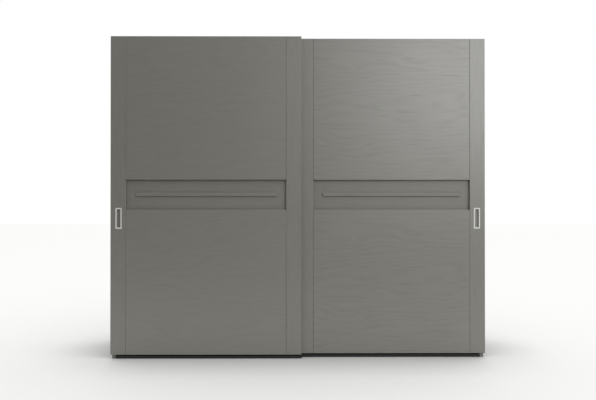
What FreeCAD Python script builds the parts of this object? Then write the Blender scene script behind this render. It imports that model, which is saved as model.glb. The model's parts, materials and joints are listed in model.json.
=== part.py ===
import FreeCAD, Part
import os
import re
import Sketcher

# A wardrobe with two overlapping sliding doors. Millimetres, +Z up, +X to the right of someone who
# faces the doors, the doors towards -Y. The origin is under the middle of the wardrobe, on the floor.

DRIVING_SIZES = {
    # whole wardrobe
    "overall_height": 2400,
    "overall_depth": 680,
    "door_span": 2800,
    "side_inset": 10,
    # boards of the carcass
    "board": 28,
    "shelf_board": 25,
    "back_board": 8,
    "plinth_board": 18,
    "carcass_drop": 60,
    "plinth_height": 60,
    "plinth_setback": 64,
    "rear_plinth_inset": 40,
    "foot_gap": 2,
    "foot_behind_face": 16,
    "kick_height": 19,
    "kick_depth": 18,
    "kick_behind_face": 8,
    "shelf_height": 1990,
    "shelf_setback": 34,
    "shelf_gap": 1,
    # the two doors
    "door_thickness": 36,
    "door_gap": 8,
    "carcass_gap": 6,
    "door_overlap": 24,
    "inner_door_reach": 4,
    "door_bottom": 30,
    "inner_top_drop": 6,
    "stile_width": 114,
    "edge_chamfer": 1.5,
    "recess_bottom": 1106,
    "recess_height": 225,
    "recess_depth": 24,
    "batten_height": 27,
    "batten_rise": 102,
    "batten_inset": 70,
    "batten_proud": 11,
    # flush finger pulls
    "pull_inset": 60,
    "pull_bottom": 965,
    "pull_width": 47,
    "pull_height": 156,
    "pull_proud": 0.4,
    "flange_thick": 1.6,
    "flange_reach": 9,
    "pull_depth": 14,
    "pull_wall": 1.5,
    "pull_fit": 0.2,
    # top track and running gear
    "track_end_gap": 2,
    "track_lead": 4,
    "track_width": 70,
    "track_base": 3,
    "track_rib": 18,
    "rib_width": 4,
    "lip_width": 3,
    "lip_height": 12,
    "front_rib_at": 22,
    "rear_rib_at": 60,
    "wheel_tread": 12,
    "flange_lip": 2,
    "wheel_width": 10,
    "groove_clear": 0.4,
    "groove_slope": 1.1,
    "rolling_gap": 0.3,
    "hanger_inset": 70,
    "wheel_spread": 26,
    "axle_radius": 3,
    "axle_head": 5,
    "head_thick": 1.5,
    "running_fit": 0.05,
    "wheel_side_gap": 1,
    "plate": 3,
    "hanger_length": 90,
    "hanger_height": 110,
    "arm_below_top": 1.5,
    "drop_height": 42,
    "inner_hanger_below_top": 5,
    "buffer_gap": 1,
    "buffer_width": 11,
    "buffer_height": 42,
    # bottom track and guides
    "guide_lead": 9,
    "guide_width": 49,
    "guide_wall": 2.5,
    "guide_wall_height": 15,
    "guide_channel": 12,
    "front_channel_at": 20,
    "rear_channel_at": 47,
    "shoe_length": 40,
    "shoe_clear": 0.5,
    "shoe_height": 12,
    "shoe_below_base": 1,
    "post_radius": 4.5,
    "guide_inset": 80,
    "guide_length": 60,
    "guide_flange_top": 90,
    "outer_arm_height": 21,
    "inner_arm_height": 33,
    # brush seals
    "seal_width": 9,
    "seal_backing": 1.5,
    "pile_width": 3,
    "seal_inset": 11,
    "seal_clear": 1,
    "seal_bottom": 110,
    "seal_top_gap": 130,
    # screws
    "screw_radius": 2,
    "screw_length": 20,
    "screw_head_radius": 4,
    "screw_head": 1.2,
    "screw_fit": 0.05,
    "cut_beyond": 1,
    "hanger_screw_spread": 34,
    "upper_screw_drop": 50,
    "lower_screw_drop": 92,
    "guide_screw_spread": 20,
    "guide_screw_height": 62,
    "track_screw_end": 150,
    "post_screw_end": 200,
    # knock-down fittings and shelf pins
    "cam_radius": 7.5,
    "cam_beyond_middle": 3,
    "cam_at": 34,
    "cam_bolt_radius": 3,
    "cam_bolt_grip": 11,
    "cam_end": 60,
    "pin_radius": 2.5,
    "pin_grip": 9,
    "pin_reach": 8,
    "pin_end": 60,
    # hanging rails
    "rail_radius": 14,
    "rail_wall": 1.5,
    "rail_drop": 60,
    "socket_radius": 24,
    "socket_plate": 4,
    "cup_wall": 2.8,
    "socket_cup": 16,
    "socket_fit": 0.2,
    "rail_end_gap": 5,
    # levelling feet
    "foot_radius": 20,
    "foot_pad": 8,
    "stem_radius": 5,
    "stem_length": 36,
    "socket_block_radius": 24,
    "socket_block_height": 32,
    "foot_front_at": 130,
    "foot_rear_at": 110,
    # wall brackets
    "bracket_width": 60,
    "bracket_leg": 50,
    "bracket_spread": 700,
    "anchor_radius": 3.5,
    "anchor_height": 30,
    "bracket_screw_spread": 18,
    "bracket_screw_at": 30,
}

# Places worked out from the driving sizes.
PLACES = {
    "half_width": "door_half - side_inset",
    "inside_half": "half_width - board",
    "carcass_top": "overall_height - carcass_drop",
    "rear": "overall_depth / 2",
    "outer_face": "pull_proud - rear",
    "outer_back": "outer_face + door_thickness",
    "inner_face": "outer_back + door_gap",
    "inner_back": "inner_face + door_thickness",
    "carcass_front": "inner_back + carcass_gap",
    "back_front": "rear - back_board",
    "board_depth": "back_front - carcass_front",
    "middle_depth": "(carcass_front + back_front) / 2",
    "door_half": "door_span / 2",
    "outer_right_edge": "door_overlap - inner_door_reach",
    "inner_left_edge": "0 - inner_door_reach",
    "partition_at": "(outer_right_edge + inner_left_edge) / 2",
    "partition_left": "partition_at - board / 2",
    "partition_right": "partition_at + board / 2",
    "base_top": "plinth_height + board",
    "ceiling": "carcass_top - board",
    "rail_top": "carcass_top + track_base + track_rib",
    "wheel_height": "rail_top + wheel_tread + rolling_gap",
    "front_rib": "carcass_front + front_rib_at",
    "rear_rib": "carcass_front + rear_rib_at",
    "wheel_flange": "wheel_tread + flange_lip",
    "groove_floor": "rib_width + 2 * groove_clear",
    "groove_mouth": "groove_floor + 2 * groove_slope",
    "wheel_end": "hanger_inset - wheel_spread - wheel_flange",
    "bore_radius": "screw_radius + screw_fit",
    "bore_depth": "screw_length - plate + cut_beyond",
    "track_start": "track_end_gap - half_width",
    "through_plate": "plate + 2 * cut_beyond",
    "rail_height": "shelf_height - rail_drop",
    "socket_cup_radius": "rail_radius + socket_fit + cup_wall",
    "shoe_width": "guide_channel - 2 * shoe_clear",
    "shoe_bottom": "plinth_height - track_base - shoe_below_base - shoe_height",
    "front_channel": "carcass_front + front_channel_at",
    "rear_channel": "carcass_front + rear_channel_at",
}

ALONG_X = FreeCAD.Rotation(FreeCAD.Vector(0, 1, 0), 90)
ALONG_Y = FreeCAD.Rotation(FreeCAD.Vector(1, 0, 0), -90)
ALONG_Z = FreeCAD.Rotation()
TRACK_SCREWS_IN_A_ROW = 8
BACK_SCREWS_IN_A_ROW = 4
SAME_PLACE = 1e-6

os.makedirs("parts", exist_ok=True)
doc = FreeCAD.newDocument("sliding_door_wardrobe")
sheet = doc.addObject("Spreadsheet::Sheet", "sizes")
for row, (alias, millimetres) in enumerate(DRIVING_SIZES.items(), start=1):
    sheet.set(f"A{row}", alias)
    sheet.set(f"B{row}", str(millimetres))
    sheet.setAlias(f"B{row}", alias)
doc.recompute()

nodes = []


def bound(text):
    """The sheet expression for a text written with bare names of sizes and places."""

    def spelled(match):
        word = match.group()
        if word in PLACES:
            return f"({bound(PLACES[word])})"
        return f"sizes.{word}"

    return re.sub(r"[a-z][a-z_]*", spelled, text)


def millimetres_of(text):
    return float(sheet.evalExpression(bound(text)))


def bind(item, **texts):
    for name, text in texts.items():
        item.setExpression(name, bound(text))
    return item


def place(item, x="0", y="0", z="0"):
    for axis, text in zip("xyz", (x, y, z)):
        item.setExpression(f".Placement.Base.{axis}", bound(text))
    return item


def node(item, label):
    item.Label = label
    nodes.append(item)
    return item


# Part primitives and booleans


def box(name, x, y, z, width, depth, height):
    block = bind(doc.addObject("Part::Box", name), Length=width, Width=depth, Height=height)
    return place(block, x, y, z)


def rod(name, turn, x, y, z, radius, length):
    """A cylinder that runs from x, y, z along the axis that the turn gives it."""
    cylinder = bind(doc.addObject("Part::Cylinder", name), Radius=radius, Height=length)
    cylinder.Placement = FreeCAD.Placement(FreeCAD.Vector(), turn)
    return place(cylinder, x, y, z)


def group(name, members):
    compound = doc.addObject("Part::Compound", name)
    compound.Links = members
    return compound


def fused(name, members):
    whole = doc.addObject("Part::MultiFuse", name)
    whole.Shapes = members
    return whole


def cut(name, blank, cutters):
    remainder = doc.addObject("Part::Cut", name)
    remainder.Base = blank
    remainder.Tool = group(f"{name}_cutters", cutters)
    return remainder


# PartDesign bodies


def new_body(name):
    return doc.addObject("PartDesign::Body", name)


def new_sketch(body, name, role, offset="0"):
    """A sketch on one of the body's own origin planes, moved along the plane's normal."""
    plane = next(item for item in body.Origin.OriginFeatures if item.Role == role)
    sketch = body.newObject("Sketcher::SketchObject", name)
    sketch.AttachmentSupport = [(plane, "")]
    sketch.MapMode = "FlatFace"
    sketch.setExpression(".AttachmentOffset.Base.z", bound(offset))
    return sketch


def draw_outline(sketch, corners):
    """A closed outline through the corners, each held at its distances from the sketch origin."""
    spots = [FreeCAD.Vector(millimetres_of(u), millimetres_of(v), 0) for u, v in corners]
    first = sketch.GeometryCount
    for index, spot in enumerate(spots):
        sketch.addGeometry(Part.LineSegment(spot, spots[(index + 1) % len(spots)]))
    for index in range(len(spots)):
        following = first + (index + 1) % len(spots)
        sketch.addConstraint(Sketcher.Constraint("Coincident", first + index, 2, following, 1))
    for index, (spot, texts) in enumerate(zip(spots, corners)):
        for kind, distance, text in (("DistanceX", spot.x, texts[0]), ("DistanceY", spot.y, texts[1])):
            held = Sketcher.Constraint(kind, -1, 1, first + index, 1, distance)
            sketch.setExpression(f"Constraints[{sketch.addConstraint(held)}]", bound(text))


def draw_rectangle(sketch, left, right, low, high):
    draw_outline(sketch, [(left, low), (right, low), (right, high), (left, high)])


def draw_circle(sketch, u, v, radius):
    centre = FreeCAD.Vector(millimetres_of(u), millimetres_of(v), 0)
    normal = FreeCAD.Vector(0, 0, 1)
    ring = sketch.addGeometry(Part.Circle(centre, normal, millimetres_of(radius)))
    for kind, distance, text in (("DistanceX", centre.x, u), ("DistanceY", centre.y, v)):
        held = Sketcher.Constraint(kind, -1, 1, ring, 3, distance)
        sketch.setExpression(f"Constraints[{sketch.addConstraint(held)}]", bound(text))
    held = Sketcher.Constraint("Radius", ring, millimetres_of(radius))
    sketch.setExpression(f"Constraints[{sketch.addConstraint(held)}]", bound(radius))


def pad(body, sketch, length):
    feature = body.newObject("PartDesign::Pad", f"{sketch.Name}_pad")
    feature.Profile = sketch
    return bind(feature, Length=length)


def pocket(body, sketch, depth, from_back=False):
    feature = body.newObject("PartDesign::Pocket", f"{sketch.Name}_pocket")
    feature.Profile = sketch
    feature.Reversed = from_back
    return bind(feature, Length=depth)


def chamfer_front(body, feature, size):
    """Ease the arrises around the face that lies in the body's own XZ plane."""
    doc.recompute()
    bounds = [edge.BoundBox for edge in feature.Shape.Edges]
    names = [f"Edge{i}" for i, b in enumerate(bounds, start=1) if abs(b.YMin) + abs(b.YMax) < SAME_PLACE]
    eased = body.newObject("PartDesign::Chamfer", f"{body.Name}_chamfer")
    eased.Base = (feature, names)
    return bind(eased, Size=size)


# Carcass


def along(count, low, high):
    """Places shared out evenly from low to high."""
    return [f"{low} + ({high} - ({low})) * {i} / {count - 1}" for i in range(count)]


def both_sides(text):
    return [f"0 - ({text})", text]


CAM_DEPTHS = ["carcass_front + cam_end", "middle_depth", "back_front - cam_end"]
SCREW_LINES = along(TRACK_SCREWS_IN_A_ROW, "track_screw_end - door_half", "door_half - track_screw_end")
TRACK_SCREW_DEPTH = "(front_rib + rear_rib) / 2"
GUIDE_SCREW_DEPTH = "(front_channel + rear_channel) / 2"
BAYS = {
    "left": ("0 - inside_half", "partition_left"),
    "right": ("partition_right", "inside_half"),
}
BACK_EDGES = {
    "left": ("0 - inside_half + cam_end", "partition_left - cam_end"),
    "right": ("partition_right + cam_end", "inside_half - cam_end"),
}
POST_SCREWS = along(BACK_SCREWS_IN_A_ROW, "base_top + post_screw_end", "ceiling - post_screw_end")


def cam_sets():
    """Every cam drum and every cam bolt as name, turn, corner, radius and length."""
    drums = []
    bolts = []
    depth = "board / 2 + cam_beyond_middle"
    grip = "cam_bolt_grip + cam_at - cam_radius"
    for at, y in enumerate(CAM_DEPTHS):
        for level, low in (("base", "plinth_height"), ("top", "ceiling")):
            for side, sign in (("left", "0 -"), ("right", "")):
                spot = f"{sign} (inside_half - cam_at)"
                drums.append((f"{level}_{side}_{at}", ALONG_Z, spot, y, low, "cam_radius", depth))
                start = "0 - inside_half - cam_bolt_grip"
                if side == "right":
                    start = "inside_half - cam_at + cam_radius"
                middle = f"{low} + board / 2"
                bolts.append((f"{level}_{side}_{at}", ALONG_X, start, y, middle, "cam_bolt_radius", grip))
        for level, spot, start in (
            ("low", "base_top + cam_at", "base_top - cam_bolt_grip"),
            ("high", "ceiling - cam_at", "ceiling - cam_at + cam_radius"),
        ):
            drums.append((f"post_{level}_{at}", ALONG_X, "partition_left", y, spot, "cam_radius", depth))
            bolts.append((f"post_{level}_{at}", ALONG_Z, "partition_at", y, start, "cam_bolt_radius", grip))
    return drums, bolts


DRUMS, BOLTS = cam_sets()


def rods(prefix, specs, extra="0"):
    return [rod(f"{prefix}_{name}", turn, x, y, z, f"{radius} + {extra}", length)
            for name, turn, x, y, z, radius, length in specs]


def shelf_pin_specs():
    specs = []
    for bay, (left, right) in BAYS.items():
        for at, y in enumerate(("carcass_front + shelf_setback + pin_end", "back_front - pin_end")):
            length = "pin_grip + pin_reach"
            low = "shelf_height - pin_radius"
            specs.append((f"{bay}_a{at}", ALONG_X, f"{left} - pin_grip", y, low, "pin_radius", length))
            specs.append((f"{bay}_b{at}", ALONG_X, f"{right} - pin_reach", y, low, "pin_radius", length))
    return specs


def back_screw_spots():
    spots = []
    for bay, (left, right) in BACK_EDGES.items():
        row = along(BACK_SCREWS_IN_A_ROW, left, right)
        for level, z in (("low", "plinth_height + board / 2"), ("high", "ceiling + board / 2")):
            spots += [(f"{bay}_{level}_{i}", x, z) for i, x in enumerate(row)]
    for side, x in (("left", "partition_at - board / 4"), ("right", "partition_at + board / 4")):
        spots += [(f"post_{side}_{i}", x, z) for i, z in enumerate(POST_SCREWS)]
    return spots


def back_screw_shanks(prefix, extra="0"):
    radius = f"screw_radius + {extra}"
    start = "rear - screw_head - screw_length"
    return [rod(f"{prefix}_{name}", ALONG_Y, x, start, z, radius, "screw_length")
            for name, x, z in back_screw_spots()]


def back_screw_heads(prefix, extra="0"):
    radius = f"screw_head_radius + {extra}"
    return [rod(f"{prefix}_{name}", ALONG_Y, x, "rear - screw_head", z, radius, "screw_head")
            for name, x, z in back_screw_spots()]


def track_shanks(prefix, depth, start, extra="0"):
    radius = f"screw_radius + {extra}"
    return [rod(f"{prefix}_{i}", ALONG_Z, x, depth, start, radius, "screw_length")
            for i, x in enumerate(SCREW_LINES)]


def bracket_screw_lines():
    lines = []
    for x in both_sides("bracket_spread"):
        lines += [f"{x} - bracket_screw_spread", f"{x} + bracket_screw_spread"]
    return lines


def bracket_shanks(prefix, extra="0"):
    radius = f"screw_radius + {extra}"
    start = "carcass_top + plate - screw_length"
    return [rod(f"{prefix}_{i}", ALONG_Z, x, "rear - bracket_screw_at", start, radius, "screw_length")
            for i, x in enumerate(bracket_screw_lines())]


def make_cam_fittings():
    node(group("cams", rods("cam", DRUMS) + rods("cam_bolt", BOLTS)), "cam_fittings")


def holes_for(prefix, specs, *starts):
    """Clearance holes for the fittings whose names begin with any of the starts."""
    return rods(prefix, [spec for spec in specs if spec[0].startswith(starts)], "screw_fit")


def make_side_panels():
    for side, x, pin_end in (("left", "0 - half_width", "left_a"), ("right", "inside_half", "right_b")):
        blank = box(f"{side}_side_blank", x, "carcass_front", "0", "board", "rear - carcass_front",
                    "carcass_top")
        holes = holes_for(f"{side}_side_bolt_hole", BOLTS, f"base_{side}", f"top_{side}")
        holes += holes_for(f"{side}_side_pin_hole", shelf_pin_specs(), pin_end)
        node(cut(f"{side}_side", blank, holes), f"{side}_side_panel")


def level_board(level, low, post_end, holes):
    """A full-width board between the side panels, bored for its fittings and the given holes."""
    blank = box(f"{level}_blank", "0 - inside_half", "carcass_front", low, "2 * inside_half",
                "board_depth", "board")
    holes += holes_for(f"{level}_drum_hole", DRUMS, level)
    holes += holes_for(f"{level}_bolt_hole", BOLTS, level, f"post_{post_end}")
    holes += back_screw_shanks(f"{level}_back_hole", "screw_fit")
    return cut(level, blank, holes)


def make_base_and_top():
    start = "plinth_height - track_base"
    holes = track_shanks("base_track_hole", GUIDE_SCREW_DEPTH, start, "screw_fit")
    node(level_board("base", "plinth_height", "low", holes), "base_panel")
    start = "carcass_top + track_base - screw_length"
    holes = track_shanks("top_track_hole", TRACK_SCREW_DEPTH, start, "screw_fit")
    holes += bracket_shanks("top_bracket_hole", "screw_fit")
    node(level_board("top", "ceiling", "high", holes), "top_panel")


def make_partition():
    blank = box("partition_blank", "partition_left", "carcass_front", "base_top", "board",
                "board_depth", "ceiling - base_top")
    holes = holes_for("partition_drum_hole", DRUMS, "post")
    holes += holes_for("partition_bolt_hole", BOLTS, "post")
    holes += holes_for("partition_pin_hole", shelf_pin_specs(), "left_b", "right_a")
    holes += back_screw_shanks("partition_back_hole", "screw_fit")
    node(cut("partition", blank, holes), "centre_partition")


def make_back_panels():
    for bay, low_x, high_x in (
        ("left", "0 - inside_half", "partition_at"),
        ("right", "partition_at", "inside_half"),
    ):
        blank = box(f"{bay}_back_blank", low_x, "back_front", "plinth_height", f"{high_x} - ({low_x})",
                    "back_board", "carcass_top - plinth_height")
        holes = back_screw_shanks(f"{bay}_back_hole", "screw_fit")
        holes += back_screw_heads(f"{bay}_back_sink", "screw_fit")
        node(cut(f"{bay}_back", blank, holes), f"{bay}_back_panel")


def make_top_shelves():
    for bay, (left, right) in BAYS.items():
        shelf = box(f"{bay}_shelf", f"{left} + shelf_gap", "carcass_front + shelf_setback",
                    "shelf_height", f"{right} - ({left}) - 2 * shelf_gap",
                    "board_depth - shelf_setback", "shelf_board")
        node(shelf, f"{bay}_top_shelf")


def make_plinths():
    for name, depth in (
        ("front_plinth", "carcass_front + plinth_setback"),
        ("rear_plinth", "rear - rear_plinth_inset"),
    ):
        rail = box(f"{name}_board", "0 - inside_half", depth, "0", "2 * inside_half",
                   "plinth_board", "plinth_height")
        node(rail, name)


def make_front_feet():
    """The foot that reaches forward from each side panel, under the door that covers it."""
    feet = []
    for side, x, face in (("left", "0 - half_width", "outer_face"), ("right", "inside_half", "inner_face")):
        front = f"{face} + foot_behind_face"
        feet.append(box(f"{side}_front_foot", x, front, "0", "board", f"carcass_front - ({front})",
                        "door_bottom - foot_gap"))
    node(group("front_foot_set", feet), "front_feet")


def make_kick_strip():
    """A low black strip just behind each door's face, joined by a bearer that meets the plinth."""
    left_front = "outer_face + kick_behind_face"
    right_front = "inner_face + kick_behind_face"
    left = box("kick_left", "0 - inside_half", left_front, "0", "outer_right_edge + inside_half",
               "kick_depth", "kick_height")
    right = box("kick_right", "partition_left", right_front, "0", "inside_half - partition_left",
                "kick_depth", "kick_height")
    bearer = box("kick_bearer", "partition_left", left_front, "0", "board",
                 f"carcass_front + plinth_setback - ({left_front})", "kick_height")
    node(fused("kick", [left, right, bearer]), "kick_strip")


def make_shelf_pins():
    node(group("shelf_pin_set", rods("shelf_pin", shelf_pin_specs())), "shelf_pins")


def make_hanging_rails():
    sockets = []
    for bay, (left, right) in BAYS.items():
        start = f"{left} + rail_end_gap"
        length = f"{right} - ({left}) - 2 * rail_end_gap"
        tube = rod(f"{bay}_tube", ALONG_X, start, "middle_depth", "rail_height", "rail_radius", length)
        bore = rod(f"{bay}_tube_bore", ALONG_X, start, "middle_depth", "rail_height",
                   "rail_radius - rail_wall", length)
        node(cut(f"{bay}_rail", tube, [bore]), f"{bay}_hanging_rail")
        for end, plate_x, cup_x in (
            ("a", left, left),
            ("b", f"{right} - socket_plate", f"{right} - socket_cup"),
        ):
            hole_x = f"{left} + socket_plate" if end == "a" else cup_x
            plate = rod(f"{bay}_socket_{end}_plate", ALONG_X, plate_x, "middle_depth", "rail_height",
                        "socket_radius", "socket_plate")
            cup = rod(f"{bay}_socket_{end}_cup", ALONG_X, cup_x, "middle_depth", "rail_height",
                      "socket_cup_radius", "socket_cup")
            hole = rod(f"{bay}_socket_{end}_hole", ALONG_X, hole_x, "middle_depth", "rail_height",
                       "rail_radius + socket_fit", "socket_cup - socket_plate")
            solid = fused(f"{bay}_socket_{end}_solid", [plate, cup])
            sockets.append(cut(f"{bay}_socket_{end}", solid, [hole]))
    node(group("socket_set", sockets), "rail_end_sockets")


def make_levelling_feet():
    feet = []
    sockets = []
    columns = ["0 - inside_half / 2", "partition_at", "inside_half / 2"]
    rows = ["carcass_front + foot_front_at", "rear - foot_rear_at"]
    spots = [(x, y) for x in columns for y in rows]
    for at, (x, y) in enumerate(spots):
        pad_disc = rod(f"foot_{at}_pad", ALONG_Z, x, y, "0", "foot_radius", "foot_pad")
        stem = rod(f"foot_{at}_stem", ALONG_Z, x, y, "foot_pad", "stem_radius", "stem_length")
        feet.append(fused(f"foot_{at}", [pad_disc, stem]))
        low = "plinth_height - socket_block_height"
        block = rod(f"foot_{at}_block", ALONG_Z, x, y, low, "socket_block_radius", "socket_block_height")
        hole = rod(f"foot_{at}_hole", ALONG_Z, x, y, low, "stem_radius + running_fit",
                   "socket_block_height - plate")
        sockets.append(cut(f"foot_{at}_socket", block, [hole]))
    node(group("foot_set", feet), "levelling_feet")
    node(group("foot_socket_set", sockets), "levelling_sockets")


def make_wall_brackets():
    brackets = []
    for side, x in zip(("left", "right"), both_sides("bracket_spread")):
        low_x = f"{x} - bracket_width / 2"
        upright = box(f"{side}_bracket_upright", low_x, "rear - plate", "carcass_top", "bracket_width",
                      "plate", "bracket_leg")
        foot = box(f"{side}_bracket_foot", low_x, "rear - bracket_leg", "carcass_top", "bracket_width",
                   "bracket_leg", "plate")
        angle = fused(f"{side}_bracket_angle", [upright, foot])
        holes = [rod(f"{side}_anchor_hole", ALONG_Y, x, "rear - plate - cut_beyond",
                     "carcass_top + anchor_height", "anchor_radius", "through_plate")]
        for end, sign in (("a", "-"), ("b", "+")):
            holes.append(rod(f"{side}_bracket_hole_{end}", ALONG_Z, f"{x} {sign} bracket_screw_spread",
                             "rear - bracket_screw_at", "carcass_top - cut_beyond",
                             "bore_radius", "through_plate"))
        brackets.append(cut(f"{side}_bracket", angle, holes))
    node(group("bracket_set", brackets), "wall_brackets")


def make_carcass_screws():
    solids = []
    for shank, head in zip(back_screw_shanks("back_screw"), back_screw_heads("back_screw_head")):
        solids.append(fused(f"{shank.Name}_whole", [shank, head]))
    for shank, x in zip(bracket_shanks("bracket_screw"), bracket_screw_lines()):
        head = rod(f"{shank.Name}_head", ALONG_Z, x, "rear - bracket_screw_at", "carcass_top + plate",
                   "screw_head_radius", "screw_head")
        solids.append(fused(f"{shank.Name}_whole", [shank, head]))
    node(group("carcass_screw_set", solids), "carcass_screws")


# Tracks


def comb_corners(low, high, base, ribs):
    """The outline of a flat base with ribs: each rib is its two edges and the height of its tip."""
    corners = [(low, "0"), (high, "0"), (high, base)]
    for near, far, tip in reversed(ribs):
        corners += [(far, base), (far, tip), (near, tip), (near, base)]
    corners.append((low, base))
    kept = []
    for corner in corners:
        if corner not in kept:
            kept.append(corner)
    return kept


def make_top_track():
    body = new_body("top_track_body")
    sketch = new_sketch(body, "top_track_profile", "YZ_Plane")
    rib_tip = "track_base + track_rib"
    lip_tip = "track_base + lip_height"
    at_front = "front_rib_at - track_lead"
    at_rear = "rear_rib_at - track_lead"
    ribs = [
        ("0", "lip_width", lip_tip),
        (f"{at_front} - rib_width / 2", f"{at_front} + rib_width / 2", rib_tip),
        (f"{at_rear} - rib_width / 2", f"{at_rear} + rib_width / 2", rib_tip),
        ("track_width - lip_width", "track_width", lip_tip),
    ]
    draw_outline(sketch, comb_corners("0", "track_width", "track_base", ribs))
    pad(body, sketch, "0 - 2 * track_start")
    drill_track(body, "top_track", "track_start", f"{TRACK_SCREW_DEPTH} - carcass_front - track_lead")
    place(body, "track_start", "carcass_front + track_lead", "carcass_top")
    node(body, "top_track")


def drill_track(body, name, start, depth):
    """Screw holes through the base of a track that begins at start, along its length."""
    sketch = new_sketch(body, f"{name}_holes", "XY_Plane", "0 - track_base - cut_beyond")
    for x in SCREW_LINES:
        draw_circle(sketch, f"{x} - ({start})", depth, "bore_radius")
    pocket(body, sketch, "2 * (track_base + cut_beyond)", from_back=True)


def make_bottom_track():
    body = new_body("guide_track_body")
    sketch = new_sketch(body, "guide_track_profile", "YZ_Plane")
    tip = "0 - track_base - guide_wall_height"
    ribs = []
    for at in ("front_channel_at", "rear_channel_at"):
        middle = f"{at} - guide_lead"
        near = f"{middle} - guide_channel / 2"
        far = f"{middle} + guide_channel / 2"
        ribs.append((f"{near} - guide_wall", near, tip))
        ribs.append((far, f"{far} + guide_wall", tip))
    draw_outline(sketch, comb_corners("0", "guide_width", "0 - track_base", ribs))
    pad(body, sketch, "2 * inside_half")
    depth = f"{GUIDE_SCREW_DEPTH} - carcass_front - guide_lead"
    drill_track(body, "guide_track", "0 - inside_half", depth)
    place(body, "0 - inside_half", "carcass_front + guide_lead", "plinth_height")
    node(body, "bottom_guide_track")


def make_track_screws():
    solids = []
    top_start = "carcass_top + track_base - screw_length"
    low_start = "plinth_height - track_base"
    for level, depth, start, head_z in (
        ("top", TRACK_SCREW_DEPTH, top_start, "carcass_top + track_base"),
        ("low", GUIDE_SCREW_DEPTH, low_start, "plinth_height - track_base - screw_head"),
    ):
        shanks = track_shanks(f"{level}_track_screw", depth, start)
        for shank, x in zip(shanks, SCREW_LINES):
            head = rod(f"{shank.Name}_head", ALONG_Z, x, depth, head_z, "screw_head_radius", "screw_head")
            solids.append(fused(f"{shank.Name}_whole", [shank, head]))
    node(group("track_screw_set", solids), "track_screws")


def make_stop_buffers():
    """A saddle over the rib at each end of both channels, just clear of the last wheel."""
    buffers = []
    length = "wheel_end - side_inset - track_end_gap - buffer_gap"
    starts = {"left": "track_start", "right": f"0 - track_start - ({length})"}
    for rail, middle in (("front", "front_rib"), ("rear", "rear_rib")):
        for side, x in starts.items():
            name = f"{rail}_{side}_buffer"
            block = box(f"{name}_block", x, f"{middle} - buffer_width / 2", "carcass_top + track_base",
                        length, "buffer_width", "buffer_height")
            slot = box(f"{name}_slot", x, f"{middle} - rib_width / 2", "carcass_top + track_base",
                       length, "rib_width", "track_rib")
            buffers.append(cut(name, block, [slot]))
    node(group("buffer_set", buffers), "track_stop_buffers")


# Doors

DOORS = {
    "outer": {
        "left": "0 - door_half",
        "right": "outer_right_edge",
        "face": "outer_face",
        "back": "outer_back",
        "top": "overall_height",
        "pull_side": "left",
        "rib": "rear_rib",
        "channel": "rear_channel",
        "arm": "outer_arm_height",
    },
    "inner": {
        "left": "inner_left_edge",
        "right": "door_half",
        "face": "inner_face",
        "back": "inner_back",
        "top": "overall_height - inner_top_drop",
        "pull_side": "right",
        "rib": "front_rib",
        "channel": "front_channel",
        "arm": "inner_arm_height",
    },
}
SCREW_ROWS = ["upper_screw_drop", "lower_screw_drop"]


def lines_in_from(door, inset):
    """Where something fixed near the left and right edges of a door has its middle."""
    return {"left": f"{door['left']} + {inset}", "right": f"{door['right']} - {inset}"}


def make_stile(name, side):
    door = DOORS[name]
    with_pull = side == door["pull_side"]
    height = f"{door['top']} - door_bottom"
    body = new_body(f"{name}_{side}_stile_body")
    sketch = new_sketch(body, f"{name}_{side}_stile_section", "XY_Plane")
    draw_rectangle(sketch, "0", "stile_width", "0", "door_thickness")
    blank = pad(body, sketch, height)
    chamfer_front(body, blank, "edge_chamfer")

    bores = new_sketch(body, f"{name}_{side}_stile_bores", "XZ_Plane", "0 - door_thickness")
    hanger_middle = "hanger_inset" if side == "left" else "stile_width - hanger_inset"
    guide_middle = "guide_inset" if side == "left" else "stile_width - guide_inset"
    for sign in ("-", "+"):
        for drop in SCREW_ROWS:
            draw_circle(bores, f"{hanger_middle} {sign} hanger_screw_spread",
                        f"overall_height - {drop} - door_bottom", "bore_radius")
        draw_circle(bores, f"{guide_middle} {sign} guide_screw_spread",
                    "guide_screw_height - door_bottom", "bore_radius")
    pocket(body, bores, "bore_depth", from_back=True)

    if with_pull:
        centre = "pull_inset" if side == "left" else "stile_width - pull_inset"
        for part, shrink, depth in (
            ("rebate", "0 - pull_fit", "flange_thick - pull_proud"),
            ("mortise", "flange_reach - pull_fit", "pull_depth + pull_fit"),
        ):
            housing = new_sketch(body, f"{name}_{side}_stile_{part}", "XZ_Plane")
            draw_rectangle(
                housing,
                f"{centre} - pull_width / 2 + {shrink}",
                f"{centre} + pull_width / 2 - ({shrink})",
                f"pull_bottom - door_bottom + {shrink}",
                f"pull_bottom - door_bottom + pull_height - ({shrink})",
            )
            pocket(body, housing, depth)
    x = door["left"] if side == "left" else f"{door['right']} - stile_width"
    place(body, x, door["face"], "door_bottom")
    node(body, f"{name}_{side}_stile")


def make_door_panel(name, part, low, height, setback="0"):
    """A board between the stiles, its front arrises eased so that a V groove shows at each stile."""
    door = DOORS[name]
    body = new_body(f"{name}_{part}_body")
    sketch = new_sketch(body, f"{name}_{part}_section", "XY_Plane")
    width = f"{door['right']} - ({door['left']}) - 2 * stile_width"
    draw_rectangle(sketch, "0", width, "0", f"door_thickness - {setback}")
    blank = pad(body, sketch, height)
    if setback == "0":
        chamfer_front(body, blank, "edge_chamfer")
    place(body, f"{door['left']} + stile_width", f"{door['face']} + {setback}", low)
    node(body, f"{name}_{part}")


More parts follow.
